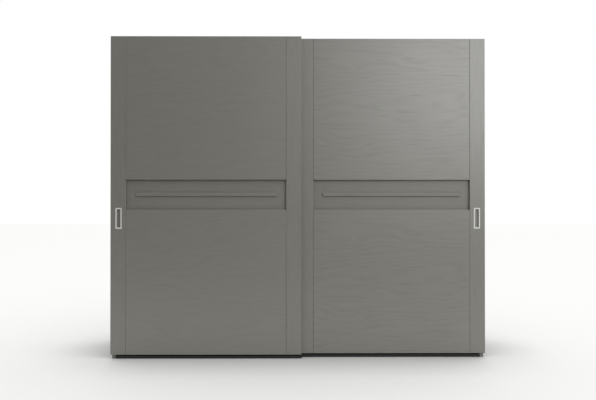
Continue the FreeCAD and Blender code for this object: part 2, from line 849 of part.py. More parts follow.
def make_batten(name):
    door = DOORS[name]
    body = new_body(f"{name}_batten_body")
    sketch = new_sketch(body, f"{name}_batten_section", "XY_Plane")
    width = f"{door['right']} - ({door['left']}) - 2 * stile_width - 2 * batten_inset"
    draw_rectangle(sketch, "0", width, "0", "batten_proud")
    blank = pad(body, sketch, "batten_height")
    chamfer_front(body, blank, "edge_chamfer")
    place(body, f"{door['left']} + stile_width + batten_inset",
          f"{door['face']} + recess_depth - batten_proud", "recess_bottom + batten_rise")
    node(body, f"{name}_batten")


def make_finger_pull(name):
    door = DOORS[name]
    body = new_body(f"{name}_finger_pull_body")
    flange = new_sketch(body, f"{name}_pull_flange", "XY_Plane")
    draw_rectangle(flange, "0", "pull_width", "0", "flange_thick")
    pad(body, flange, "pull_height")
    tray = new_sketch(body, f"{name}_pull_tray", "XZ_Plane", "0 - pull_depth - pull_proud")
    draw_rectangle(tray, "flange_reach", "pull_width - flange_reach",
                   "flange_reach", "pull_height - flange_reach")
    pad(body, tray, "pull_depth + pull_proud")
    hollow = new_sketch(body, f"{name}_pull_hollow", "XZ_Plane")
    edge = "flange_reach + pull_wall"
    draw_rectangle(hollow, edge, f"pull_width - ({edge})", edge, f"pull_height - ({edge})")
    pocket(body, hollow, "pull_depth + pull_proud - pull_wall")
    centre = f"{door['left']} + pull_inset"
    if door["pull_side"] == "right":
        centre = f"{door['right']} - pull_inset"
    place(body, f"{centre} - pull_width / 2", f"{door['face']} - pull_proud", "pull_bottom")
    node(body, f"{name}_finger_pull")


def hanger_profile(name):
    """The bent plate of a hanger, measured back from the door and up from its top face."""
    if name == "inner":
        return [("0", "0"), ("plate", "0"), ("plate", "0 - hanger_height"), ("0", "0 - hanger_height")]
    reach = "rear_rib - wheel_width / 2 - wheel_side_gap - outer_back"
    return [
        ("0", "0"),
        (reach, "0"),
        (reach, "0 - drop_height"),
        (f"{reach} - plate", "0 - drop_height"),
        (f"{reach} - plate", "0 - plate"),
        ("plate", "0 - plate"),
        ("plate", "0 - hanger_height"),
        ("0", "0 - hanger_height"),
    ]


def hanger_top(name):
    if name == "outer":
        return "overall_height - arm_below_top"
    return "overall_height - inner_top_drop - inner_hanger_below_top"


def make_hangers(name):
    door = DOORS[name]
    hangers = []
    for side, middle in lines_in_from(door, "hanger_inset").items():
        key = f"{name}_{side}_hanger"
        body = new_body(f"{key}_body")
        sketch = new_sketch(body, f"{key}_profile", "YZ_Plane")
        draw_outline(sketch, hanger_profile(name))
        pad(body, sketch, "hanger_length")
        place(body, f"{middle} - hanger_length / 2", door["back"], hanger_top(name))
        holes = []
        for end, sign in (("a", "-"), ("b", "+")):
            holes.append(rod(f"{key}_axle_hole_{end}", ALONG_Y, f"{middle} {sign} wheel_spread",
                             axle_start(name), "wheel_height", "axle_radius", "plate"))
            for at, drop in enumerate(SCREW_ROWS):
                holes.append(rod(f"{key}_screw_hole_{end}{at}", ALONG_Y,
                                 f"{middle} {sign} hanger_screw_spread", door["back"],
                                 f"overall_height - {drop}", "bore_radius", "plate"))
        hangers.append(cut(key, body, holes))
    node(group(f"{name}_hanger_set", hangers), f"{name}_hangers")


def axle_start(name):
    """The front face of the plate that carries the axle."""
    if name == "outer":
        return "rear_rib - wheel_width / 2 - wheel_side_gap - plate"
    return "inner_back"


def make_axles(name):
    door = DOORS[name]
    wheel_front = f"{door['rib']} - wheel_width / 2"
    start = axle_start(name)
    axles = []
    for side, middle in lines_in_from(door, "hanger_inset").items():
        for end, sign in (("a", "-"), ("b", "+")):
            x = f"{middle} {sign} wheel_spread"
            key = f"{name}_{side}_axle_{end}"
            journal_end = f"{wheel_front} + wheel_width + wheel_side_gap / 2"
            shoulder_end = f"{wheel_front} - wheel_side_gap / 2"
            pieces = [
                rod(f"{key}_journal", ALONG_Y, x, start, "wheel_height", "axle_radius",
                    f"{journal_end} - ({start})"),
                rod(f"{key}_shoulder", ALONG_Y, x, f"{start} + plate", "wheel_height", "axle_head",
                    f"{shoulder_end} - ({start}) - plate"),
                rod(f"{key}_cap", ALONG_Y, x, journal_end, "wheel_height", "axle_head", "head_thick"),
            ]
            if name == "outer":
                pieces.append(rod(f"{key}_rivet", ALONG_Y, x, f"{start} - head_thick", "wheel_height",
                                  "axle_head", "head_thick"))
            axles.append(fused(key, pieces))
    node(group(f"{name}_axle_set", axles), f"{name}_wheel_axles")


def make_wheels(name):
    """Grooved wheels that straddle the rib, one revolved section to each axle."""
    door = DOORS[name]
    mouth_low = "(wheel_width - groove_mouth) / 2"
    floor_low = "(wheel_width - groove_floor) / 2"
    bore = "axle_radius + running_fit"
    section = [
        (bore, "0"),
        ("wheel_flange", "0"),
        ("wheel_flange", mouth_low),
        ("wheel_tread", floor_low),
        ("wheel_tread", f"wheel_width - {floor_low}"),
        ("wheel_flange", f"wheel_width - {mouth_low}"),
        ("wheel_flange", "wheel_width"),
        (bore, "wheel_width"),
    ]
    for side, middle in lines_in_from(door, "hanger_inset").items():
        for end, sign in (("a", "-"), ("b", "+")):
            label = f"{name}_{side}_wheel_{end}"
            body = new_body(f"{label}_body")
            sketch = new_sketch(body, f"{label}_section", "XY_Plane")
            draw_outline(sketch, section)
            turned = body.newObject("PartDesign::Revolution", f"{label}_turned")
            turned.Profile = sketch
            turned.ReferenceAxis = (sketch, ["V_Axis"])
            turned.Angle = 360
            place(body, f"{middle} {sign} wheel_spread", f"{door['rib']} - wheel_width / 2",
                  "wheel_height")
            node(body, label)


def make_guides(name):
    """An angle under each stile and the shoe that it carries in the bottom track."""
    door = DOORS[name]
    arm_end = f"{door['channel']} + post_radius + plate"
    reach = f"{arm_end} - ({door['back']})"
    profile = [
        ("0", "0"),
        (reach, "0"),
        (reach, "plate"),
        ("plate", "plate"),
        ("plate", f"guide_flange_top - {door['arm']}"),
        ("0", f"guide_flange_top - {door['arm']}"),
    ]
    angles = []
    shoes = []
    for side, middle in lines_in_from(door, "guide_inset").items():
        key = f"{name}_{side}_guide"
        body = new_body(f"{key}_body")
        sketch = new_sketch(body, f"{key}_profile", "YZ_Plane")
        draw_outline(sketch, profile)
        pad(body, sketch, "guide_length")
        place(body, f"{middle} - guide_length / 2", door["back"], door["arm"])
        holes = [rod(f"{key}_screw_hole_{end}", ALONG_Y, f"{middle} {sign} guide_screw_spread",
                     door["back"], "guide_screw_height", "bore_radius", "plate")
                 for end, sign in (("a", "-"), ("b", "+"))]
        angles.append(cut(key, body, holes))
        post = rod(f"{key}_post", ALONG_Z, middle, door["channel"], f"{door['arm']} + plate",
                   "post_radius", f"shoe_bottom - {door['arm']} - plate + shoe_height / 2")
        block = box(f"{key}_block", f"{middle} - shoe_length / 2", f"{door['channel']} - shoe_width / 2",
                    "shoe_bottom", "shoe_length", "shoe_width", "shoe_height")
        shoes.append(fused(f"{key}_shoe", [post, block]))
    node(group(f"{name}_guide_set", angles), f"{name}_guide_brackets")
    node(group(f"{name}_shoe_set", shoes), f"{name}_guide_shoes")


def make_door_screws(name):
    door = DOORS[name]
    solids = []
    guide_lines = lines_in_from(door, "guide_inset")
    for side, middle in lines_in_from(door, "hanger_inset").items():
        spots = []
        for sign in ("-", "+"):
            hanger_x = f"{middle} {sign} hanger_screw_spread"
            spots += [(hanger_x, f"overall_height - {drop}") for drop in SCREW_ROWS]
            spots.append((f"{guide_lines[side]} {sign} guide_screw_spread", "guide_screw_height"))
        for at, (x, z) in enumerate(spots):
            key = f"{name}_{side}_screw_{at}"
            start = f"{door['back']} + plate"
            shank = rod(f"{key}_shank", ALONG_Y, x, f"{start} - screw_length", z, "screw_radius",
                        "screw_length")
            head = rod(f"{key}_head", ALONG_Y, x, start, z, "screw_head_radius", "screw_head")
            solids.append(fused(key, [shank, head]))
    node(group(f"{name}_screw_set", solids), f"{name}_door_screws")


def make_brush_seal(name):
    """A brush down the back of the right-hand edge, between the hanger and the guide."""
    door = DOORS[name]
    reach = "door_gap - seal_clear" if name == "outer" else "carcass_gap - seal_clear"
    body = new_body(f"{name}_seal_body")
    sketch = new_sketch(body, f"{name}_seal_section", "XY_Plane")
    pile_left = "(seal_width - pile_width) / 2"
    pile_right = "(seal_width + pile_width) / 2"
    corners = [
        ("0", "0"),
        ("seal_width", "0"),
        ("seal_width", "seal_backing"),
        (pile_right, "seal_backing"),
        (pile_right, reach),
        (pile_left, reach),
        (pile_left, "seal_backing"),
        ("0", "seal_backing"),
    ]
    draw_outline(sketch, corners)
    pad(body, sketch, "overall_height - seal_top_gap - seal_bottom")
    place(body, f"{door['right']} - seal_inset - seal_width", door["back"], "seal_bottom")
    node(body, f"{name}_brush_seal")


def make_door(name):
    recess_top = "recess_bottom + recess_height"
    make_stile(name, "left")
    make_stile(name, "right")
    make_door_panel(name, "lower_panel", "door_bottom", "recess_bottom - door_bottom")
    make_door_panel(name, "upper_panel", recess_top, f"{DOORS[name]['top']} - ({recess_top})")
    make_door_panel(name, "recess_panel", "recess_bottom", "recess_height", "recess_depth")
    make_batten(name)
    make_finger_pull(name)
    make_hangers(name)
    make_axles(name)
    make_wheels(name)
    make_guides(name)
    make_door_screws(name)
    make_brush_seal(name)


make_cam_fittings()
make_side_panels()
make_base_and_top()
make_partition()
make_back_panels()
make_top_shelves()
make_plinths()
make_front_feet()
make_kick_strip()
make_shelf_pins()
make_hanging_rails()
make_levelling_feet()
make_wall_brackets()
make_carcass_screws()
make_top_track()
make_bottom_track()
make_track_screws()
make_stop_buffers()
for door_name in DOORS:
    make_door(door_name)
doc.recompute()

for item in doc.Objects:
    if "Invalid" in item.State or "Error" in item.State:
        raise RuntimeError(f"{item.Name} did not compute: {item.State}")
for item in nodes:
    if item.Shape.isNull() or not item.Shape.isValid():
        raise RuntimeError(f"{item.Label} has no valid shape")
for item in nodes:
    item.Shape.exportStep(f"parts/{item.Label}.step")
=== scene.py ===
"""A wide wardrobe with two overlapping sliding doors, in warm grey open-pore lacquer.

Metres, +Z up, +X to the right of someone who faces the doors, the doors towards -Y.
"""

import json
import math

import bmesh
import bpy
from mathutils import Matrix, Vector


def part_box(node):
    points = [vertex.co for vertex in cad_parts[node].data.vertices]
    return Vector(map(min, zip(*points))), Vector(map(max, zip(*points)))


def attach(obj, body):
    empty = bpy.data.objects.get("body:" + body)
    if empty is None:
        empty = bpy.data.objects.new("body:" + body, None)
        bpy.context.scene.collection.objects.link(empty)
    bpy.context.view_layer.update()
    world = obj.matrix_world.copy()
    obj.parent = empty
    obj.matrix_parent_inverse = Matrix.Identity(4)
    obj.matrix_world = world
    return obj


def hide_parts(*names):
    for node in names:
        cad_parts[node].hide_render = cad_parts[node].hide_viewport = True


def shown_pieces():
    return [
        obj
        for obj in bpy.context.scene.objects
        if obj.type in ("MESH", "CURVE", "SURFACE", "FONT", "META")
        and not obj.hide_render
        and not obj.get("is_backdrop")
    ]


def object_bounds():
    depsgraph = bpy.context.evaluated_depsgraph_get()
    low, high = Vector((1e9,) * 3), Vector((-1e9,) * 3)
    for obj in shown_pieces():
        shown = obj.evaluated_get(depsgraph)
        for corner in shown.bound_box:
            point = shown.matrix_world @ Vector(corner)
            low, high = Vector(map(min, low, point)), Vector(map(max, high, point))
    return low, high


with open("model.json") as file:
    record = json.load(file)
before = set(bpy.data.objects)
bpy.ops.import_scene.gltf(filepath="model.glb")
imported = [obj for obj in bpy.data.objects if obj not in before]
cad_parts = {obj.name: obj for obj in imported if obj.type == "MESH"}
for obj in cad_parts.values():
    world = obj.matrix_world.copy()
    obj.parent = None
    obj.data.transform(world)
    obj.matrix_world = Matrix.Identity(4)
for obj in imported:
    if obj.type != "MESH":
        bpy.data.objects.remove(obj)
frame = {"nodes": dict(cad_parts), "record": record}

cad_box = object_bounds()

MM = 0.001
DOORS = ("outer", "inner")

# ---------------------------------------------------------------- colours, as seen on a screen


def tint(red, green, blue):
    """A colour given the way a paint chart gives it, 0 to 255, as scene-linear RGBA."""
    def linear(level):
        share = level / 255
        return share / 12.92 if share <= 0.04045 else ((share + 0.055) / 1.055) ** 2.4
    return (linear(red), linear(green), linear(blue), 1.0)


LACQUER = tint(107, 106, 99)
FOOT_LACQUER = tint(92, 91, 85)
CARCASS_LACQUER = tint(122, 121, 113)
BACK_SHEET = tint(150, 148, 141)
PLINTH_BLACK = tint(17, 17, 17)
PULL_METAL = tint(196, 196, 192)
# A darker copy of the pull metal: painted shade for the hollow of the flush pull.
TRAY_METAL_PAINTED_SHADE = tint(126, 125, 120)
EXTRUSION = tint(182, 184, 186)
ZINC = tint(165, 168, 172)
CHROME = tint(215, 217, 220)
NYLON = tint(222, 221, 214)
RUBBER = tint(28, 28, 28)
BEARING_SEAL = tint(34, 34, 36)
PILE = tint(46, 46, 46)
FLOOR_WHITE = tint(246, 246, 245)
# The colour of the painted shade on the floor close to what stands on it.
FLOOR_PAINTED_SHADE = tint(206, 206, 205)


# ---------------------------------------------------------------- shader node groups


def new_group(name, inputs, outputs):
    group = bpy.data.node_groups.new(name, "ShaderNodeTree")
    for kind, label, default in inputs:
        socket = group.interface.new_socket(label, in_out="INPUT", socket_type=f"NodeSocket{kind}")
        if default is not None:
            socket.default_value = default
    for kind, label in outputs:
        group.interface.new_socket(label, in_out="OUTPUT", socket_type=f"NodeSocket{kind}")
    return group


class Sheet:
    """Nodes on one node tree, with short ways to add and wire them."""

    def __init__(self, tree):
        self.tree = tree

    def add(self, kind, inputs=(), **settings):
        node = self.tree.nodes.new(kind)
        for name, value in settings.items():
            setattr(node, name, value)
        for key, value in dict(inputs).items():
            self.feed(node.inputs[key], value)
        return node

    def feed(self, socket, value):
        if isinstance(value, bpy.types.NodeSocket):
            self.tree.links.new(value, socket)
        else:
            socket.default_value = value

    def give(self, **values):
        """The outputs of a group."""
        out = self.add("NodeGroupOutput")
        for name, value in values.items():
            self.feed(out.inputs[name], value)

    def math(self, operation, first, second=0.0, third=None):
        node = self.add("ShaderNodeMath", {0: first, 1: second}, operation=operation)
        if third is not None:
            self.feed(node.inputs[2], third)
        return node.outputs[0]

    def plus(self, first, second):
        return self.math("ADD", first, second)

    def minus(self, first, second):
        return self.math("SUBTRACT", first, second)

    def times(self, first, second):
        return self.math("MULTIPLY", first, second)

    def blend(self, factor, first, second, mode="MIX"):
        node = self.add("ShaderNodeMix", data_type="RGBA", blend_type=mode)
        for socket, value in zip((node.inputs[0], node.inputs[6], node.inputs[7]), (factor, first, second)):
            self.feed(socket, value)
        return node.outputs[2]

    def ramp(self, value, low, high, out_low=0.0, out_high=1.0):
        inputs = {"Value": value, "From Min": low, "From Max": high, "To Min": out_low, "To Max": out_high}
        return self.add("ShaderNodeMapRange", inputs, clamp=True).outputs[0]

    def noise(self, vector, scale, detail=3.0, roughness=0.5, distortion=0.0):
        inputs = {"Vector": vector, "Scale": scale, "Detail": detail, "Roughness": roughness,
                  "Distortion": distortion}
        return self.add("ShaderNodeTexNoise", inputs).outputs["Fac"]

    def stretched(self, vector, x, y, z):
        inputs = {0: vector, 1: (x, y, z)}
        return self.add("ShaderNodeVectorMath", inputs, operation="MULTIPLY").outputs[0]

    def placed(self, vector, location, turn):
        inputs = {"Vector": vector, "Location": location, "Rotation": turn}
        return self.add("ShaderNodeMapping", inputs, vector_type="TEXTURE").outputs[0]


def make_open_pore_grain():
    """Oak grain that runs along X: long pores, growth-ring streaks and wide cathedral arches.

    Height is for a bump, Pores is 1 in the bottom of a pore, Streaks varies slowly across the rings.
    """
    group = new_group(
        "open_pore_grain",
        [
            ("Vector", "Vector", None),
            ("Float", "Seed", 0.0),
            ("Float", "Ring Width", 0.05),
            ("Float", "Pore Depth", 1.0),
        ],
        [("Float", "Height"), ("Float", "Pores"), ("Float", "Streaks")],
    )
    s = Sheet(group)
    given = s.add("NodeGroupInput").outputs
    seed = s.add("ShaderNodeCombineXYZ", {0: given["Seed"], 1: given["Seed"], 2: given["Seed"]}).outputs[0]
    spot = s.add("ShaderNodeVectorMath", {0: given["Vector"], 1: seed}, operation="ADD").outputs[0]

    # Rings: height above the board's middle, bowed along the grain so that the lines close into arches.
    wander = s.noise(s.stretched(spot, 0.55, 1.0, 2.2), 1.6, 2.0, 0.45)
    axes = s.add("ShaderNodeSeparateXYZ", {0: given["Vector"]}).outputs
    bow = s.times(s.math("POWER", s.times(axes[0], 0.55), 2.0), 0.16)
    across = s.math("ABSOLUTE", axes[2])
    level = s.plus(s.plus(across, s.times(s.minus(wander, 0.5), 0.62)), bow)
    ring = s.math("FRACT", s.math("DIVIDE", level, given["Ring Width"]))
    streak = s.math("SMOOTH_MIN", ring, s.times(s.minus(1.0, ring), 3.0), 0.25)

    fine = s.noise(s.stretched(spot, 4.0, 60.0, 260.0), 1.0, 3.0, 0.55)
    broken = s.noise(s.stretched(spot, 9.0, 30.0, 90.0), 1.0, 2.0, 0.5)
    pores = s.ramp(s.plus(fine, s.times(streak, -0.12)), 0.38, 0.46, 1.0, 0.0)
    pores = s.times(pores, s.ramp(broken, 0.35, 0.6))
    relief = s.times(pores, given["Pore Depth"])
    height = s.minus(s.times(streak, 0.35), relief)

    s.give(Height=height, Pores=pores, Streaks=streak)
    return group


def make_edge_wear():
    """1 along sharp arrises, broken up the way a handled edge is rubbed."""
    group = new_group(
        "edge_wear",
        [("Float", "Width", 0.0015), ("Float", "Patchiness", 9.0)],
        [("Float", "Mask")],
    )
    s = Sheet(group)
    given = s.add("NodeGroupInput").outputs
    place = s.add("ShaderNodeTexCoord").outputs["Object"]
    rounded = s.add("ShaderNodeBevel", {"Radius": given["Width"]}, samples=4).outputs[0]
    plain = s.add("ShaderNodeNewGeometry").outputs["Normal"]
    agree = s.add("ShaderNodeVectorMath", {0: rounded, 1: plain}, operation="DOT_PRODUCT").outputs["Value"]
    edge = s.ramp(agree, 0.995, 0.90)
    patches = s.ramp(s.noise(place, given["Patchiness"], 4.0, 0.6), 0.35, 0.65, 0.25, 1.0)
    s.give(Mask=s.times(edge, patches))
    return group


def make_handling():
    """Faint smears and settled dust: Smears moves the roughness, Dust gathers on faces that look up."""
    group = new_group(
        "handling",
        [("Float", "Scale", 2.5)],
        [("Float", "Smears"), ("Float", "Dust")],
    )
    s = Sheet(group)
    given = s.add("NodeGroupInput").outputs
    place = s.add("ShaderNodeTexCoord").outputs["Object"]
    broad = s.noise(place, given["Scale"], 3.0, 0.55, 0.6)
    wiped = s.noise(s.stretched(place, 1.0, 1.0, 0.35), s.times(given["Scale"], 5.0), 3.0, 0.6)
    smears = s.plus(s.times(broad, 0.65), s.times(wiped, 0.35))
    up = s.add("ShaderNodeSeparateXYZ", {0: s.add("ShaderNodeNewGeometry").outputs["Normal"]}).outputs[2]
    dust = s.times(s.ramp(up, 0.5, 1.0), s.ramp(wiped, 0.3, 0.75, 0.3, 1.0))
    s.give(Smears=smears, Dust=dust)
    return group


def make_drawn_lines():
    """The fine parallel lines that rolling, drawing or extruding leaves, along one axis."""
    group = new_group(
        "drawn_lines",
        [("Vector", "Vector", None), ("Float", "Fineness", 900.0)],
        [("Float", "Lines"), ("Float", "Cloud")],
    )
    s = Sheet(group)
    given = s.add("NodeGroupInput").outputs
    lines = s.noise(given["Vector"], given["Fineness"], 2.0, 0.6)
    cloud = s.noise(given["Vector"], 6.0, 3.0, 0.5)
    s.give(Lines=lines, Cloud=cloud)
    return group


GRAIN = make_open_pore_grain()
EDGE_WEAR = make_edge_wear()
HANDLING = make_handling()
DRAWN_LINES = make_drawn_lines()


# ---------------------------------------------------------------- materials


def new_material(name):
    material = bpy.data.materials.new(name)
    material.use_nodes = True
    s = Sheet(material.node_tree)
    shader = material.node_tree.nodes["Principled BSDF"]
    return material, s, shader


def placed_group(s, group, **inputs):
    node = s.add("ShaderNodeGroup", node_tree=group)
    for name, value in inputs.items():
        s.feed(node.inputs[name.replace("_", " ").title()], value)
    return node.outputs


def bump(s, height, distance, strength=1.0):
    inputs = {"Height": height, "Distance": distance, "Strength": strength}
    return s.add("ShaderNodeBump", inputs).outputs[0]


def finish(s, shader, colour, roughness, normal):
    for label, value in (("Base Color", colour), ("Roughness", roughness), ("Normal", normal)):
        s.feed(shader.inputs[label], value)


def shaded(colour, factor, lift=0.0):
    """The colour made darker or paler, and lifted a little."""
    return tuple(min(1.0, c * factor + lift) for c in colour[:3]) + (1.0,)


MEAN_STREAK = 0.45
MEAN_PORES = 0.2


def lacquered_wood(name, colour, grain, centre, seed, rough=0.4, figure=1.0, sheen=1.0):
    """Satin open-pore lacquer. The grain runs along the axis named, and its arches open at the centre.

    Figure is how strongly the grain stands out of the lacquer, sheen how much of it is mirrored light.
    """
    material, s, shader = new_material(name)
    place = s.add("ShaderNodeTexCoord").outputs["Object"]
    turn = {
        "x": (0.0, 0.0, 0.0),
        "z": (0.0, math.radians(90), 0.0),
        "y": (0.0, 0.0, math.radians(90)),
    }[grain]
    along = s.placed(place, centre, turn)
    wood = placed_group(s, GRAIN, vector=along, seed=seed)
    wear = placed_group(s, EDGE_WEAR)
    hands = placed_group(s, HANDLING)
    # The two shares even out over a board, so that boards of stronger and weaker figure match.
    ring_share = s.times(s.minus(MEAN_STREAK, wood["Streaks"]), 0.16 * figure)
    pore_share = s.times(s.minus(MEAN_PORES, wood["Pores"]), 0.3 * figure)
    level = s.plus(s.plus(ring_share, pore_share), 1.0)
    body = s.add("ShaderNodeVectorMath", {0: colour[:3], "Scale": level}, operation="SCALE").outputs[0]
    body = s.blend(s.times(wear["Mask"], 0.2), body, tint(140, 139, 131))
    body = s.blend(s.times(hands["Dust"], 0.12), body, tint(190, 188, 180))
    gloss = s.plus(rough - 0.03, s.times(hands["Smears"], 0.06))
    gloss = s.minus(gloss, s.times(pore_share, 0.3))
    finish(s, shader, body, gloss, bump(s, wood["Height"], 0.0001 * figure, 0.5))
    shader.inputs["Specular IOR Level"].default_value = sheen
    return material


def plain_board(name, colour, rough=0.75):
    """Coated hardboard or black board: a fine pressed texture, faint mottling and rubbed edges."""
    material, s, shader = new_material(name)
    place = s.add("ShaderNodeTexCoord").outputs["Object"]
    mottle = s.noise(place, 3.0, 4.0, 0.6)
    pressed = s.noise(place, 420.0, 2.0, 0.5)
    wear = placed_group(s, EDGE_WEAR)
    hands = placed_group(s, HANDLING)
    body = s.blend(mottle, colour, shaded(colour, 0.8))
    body = s.blend(s.times(wear["Mask"], 0.5), body, shaded(colour, 1.6, 0.02))
    body = s.blend(s.times(hands["Dust"], 0.15), body, tint(150, 148, 142))
    gloss = s.ramp(hands["Smears"], 0.2, 0.8, rough - 0.08, rough + 0.08)
    finish(s, shader, body, gloss, bump(s, pressed, 0.00008, 0.6))
    return material


def worked_metal(name, colour, grain, rough, tarnish=0.25, fineness=900.0, metallic=1.0):
    """Metal with drawn or brushed lines along one axis, cloudy tarnish and bright rubbed edges."""
    material, s, shader = new_material(name)
    place = s.add("ShaderNodeTexCoord").outputs["Object"]
    squeeze = {"x": (0.02, 1.0, 1.0), "y": (1.0, 0.02, 1.0), "z": (1.0, 1.0, 0.02), "none": (1.0, 1.0, 1.0)}
    lined = s.stretched(place, *squeeze[grain])
    drawn = placed_group(s, DRAWN_LINES, vector=lined, fineness=fineness)
    wear = placed_group(s, EDGE_WEAR, width=0.0008)
    hands = placed_group(s, HANDLING, scale=9.0)
    dull = shaded(colour, 0.62)
    body = s.blend(s.times(hands["Smears"], tarnish), colour, dull)
    body = s.blend(s.ramp(drawn["Lines"], 0.35, 0.65, 0.0, 0.2), body, dull)
    body = s.blend(wear["Mask"], body, shaded(colour, 1.25))
    shader.inputs["Metallic"].default_value = metallic
    gloss = s.plus(rough, s.times(s.minus(drawn["Lines"], 0.5), 0.3))
    gloss = s.plus(gloss, s.times(s.minus(drawn["Cloud"], 0.5), 0.12))
    finish(s, shader, body, gloss, bump(s, drawn["Lines"], 0.00003, 0.5))
    return material


def moulded(name, colour, rough, fine=650.0, relief=0.00005):
    """Moulded nylon, plastic or rubber: spark-eroded skin, faint flow clouds and scuffed edges."""
    material, s, shader = new_material(name)
    place = s.add("ShaderNodeTexCoord").outputs["Object"]
    skin = s.noise(place, fine, 2.0, 0.6)
    flow = s.noise(place, 22.0, 3.0, 0.5, 0.8)
    wear = placed_group(s, EDGE_WEAR, width=0.0008)
    body = s.blend(s.ramp(flow, 0.3, 0.7), colour, shaded(colour, 0.82))
    body = s.blend(s.times(wear["Mask"], 0.6), body, shaded(colour, 1.3, 0.03))
    gloss = s.ramp(flow, 0.3, 0.7, rough - 0.06, rough + 0.08)
    finish(s, shader, body, gloss, bump(s, skin, relief, 0.7))
    return material


def studio_floor():
    """White, with painted shade: the colour darkens where ambient occlusion finds the floor closed in, close
    to what stands on it.
    """
    material, s, shader = new_material("studio_floor")
    place = s.add("ShaderNodeTexCoord").outputs["Object"]
    mottle = s.noise(place, 1.2, 3.0, 0.5)
    body = s.blend(mottle, FLOOR_WHITE, tint(243, 243, 241))
    # Painted shade: the floor's colour darkens where ambient occlusion finds it closed in by the wardrobe.
    painted_shade_cover = s.add("ShaderNodeAmbientOcclusion", {"Distance": 0.6}, samples=12).outputs["AO"]
    body = s.blend(s.ramp(painted_shade_cover, 0.5, 1.0), FLOOR_PAINTED_SHADE, body)
    s.feed(shader.inputs["Base Color"], body)
    s.feed(shader.inputs["Roughness"], s.ramp(mottle, 0.2, 0.8, 0.55, 0.7))
    shader.inputs["Specular IOR Level"].default_value = 0.2
    return material


# ---------------------------------------------------------------- what the record says of each node

NODES = frame["nodes"]
RECORD = frame["record"]
BODY_OF = {node: body for body, members in RECORD["behaviour"]["bodies"].items() for node in members}
SLOT_OF = {part["node"]: part["material_slot"] for part in RECORD["subparts"]}


def mid(node):
    low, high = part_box(node)
    return (low + high) / 2


def dress(obj, material):
    obj.data.materials.clear()
    obj.data.materials.append(material)


class Solid:
    """One of the separate solids of a node: its corners, its box and the line it runs along."""

    def __init__(self, corners):
        self.corners = corners
        self.low = Vector([min(c[i] for c in corners) for i in range(3)])
        self.high = Vector([max(c[i] for c in corners) for i in range(3)])
        self.mid = (self.low + self.high) / 2
        self.size = self.high - self.low

    def line(self):
        """The index of the longest side, and the sign of the end that the widest ring is at."""
        axis = max(range(3), key=lambda i: self.size[i])
        across = [i for i in range(3) if i != axis]
        reach = [math.hypot(*(c[i] - self.mid[i] for i in across)) for c in self.corners]
        widest = [c[axis] for c, r in zip(self.corners, reach) if r > max(reach) - 0.0001]
        sign = 1 if sum(widest) / len(widest) > self.mid[axis] else -1
        return axis, sign


def solids(node):
    """The separate solids that a node's mesh is made of, in a fixed order."""
    mesh = NODES[node].data
    spots = [tuple(round(c, 6) for c in v.co) for v in mesh.vertices]
    parent = {spot: spot for spot in spots}

    def root(spot):
        while parent[spot] != spot:
            parent[spot] = parent[parent[spot]]
            spot = parent[spot]
        return spot

    for edge in mesh.edges:
        first, second = (root(spots[i]) for i in edge.vertices)
        parent[first] = second
    found = {}
    for spot in parent:
        found.setdefault(root(spot), []).append(spot)
    return sorted((Solid(corners) for corners in found.values()), key=lambda one: tuple(one.mid))


# ---------------------------------------------------------------- mesh making

ARRIS = 1.5 * MM
SEAM = 0.5 * MM
SEAM_DEPTH = 8 * MM


def corner_arc(before, corner, after, radius, steps):
    """Points on the arc that rounds one corner of an outline."""
    here = Vector(corner)
    back = (Vector(before) - here).normalized()
    on = (Vector(after) - here).normalized()
    half = back.angle(on) / 2
    run = radius / math.tan(half)
    centre = here + (back + on).normalized() * (radius / math.sin(half))
    start = here + back * run - centre
    end = here + on * run - centre
    sweep = start.angle_signed(end)
    return [tuple(centre + Matrix.Rotation(-sweep * i / steps, 2) @ start) for i in range(steps + 1)]


def rounded(corners, steps=5):
    """An outline from corners given as (u, v) or, where the corner is rounded, (u, v, radius)."""
    outline = []
    for i, corner in enumerate(corners):
        if len(corner) == 2:
            outline.append(corner)
            continue
        before = corners[i - 1][:2]
        after = corners[(i + 1) % len(corners)][:2]
        outline += corner_arc(before, corner[:2], after, corner[2], steps)
    return outline


def mirrored(half, middle, base):
    """A whole cross-section from one half of it, given from its middle line and its base."""
    near = [(middle + u, base + v, *radius) for u, v, *radius in half]
    far = [(middle - u, base + v, *radius) for u, v, *radius in reversed(half)]
    return near + far


def rounded_rectangle(half_width, half_height, radius, steps=6):
    signs = ((-1, -1), (1, -1), (1, 1), (-1, 1))
    return rounded([(u * half_width, v * half_height, radius) for u, v in signs], steps)


def add_loft(bm, rings, closed_ends=True):
    """Faces between rings of the same number of points; each end is closed with one face."""
    made = [[bm.verts.new(point) for point in ring] for ring in rings]
    for near, far in zip(made, made[1:]):
        for i in range(len(near)):
            j = (i + 1) % len(near)
            bm.faces.new((near[i], near[j], far[j], far[i]))
    if closed_ends:
        bm.faces.new(reversed(made[0]))
        bm.faces.new(made[-1])
    return made


def add_run(bm, outline, start, end, axis="x"):
    """An outline pushed along an axis. The outline's own two directions are the other two axes."""
    place = {
        "x": lambda u, v, w: (w, u, v),
        "y": lambda u, v, w: (u, w, v),
        "z": lambda u, v, w: (u, v, w),
    }[axis]
    rings = [[place(u, v, w) for u, v in outline] for w in (start, end)]
    return add_loft(bm, rings)


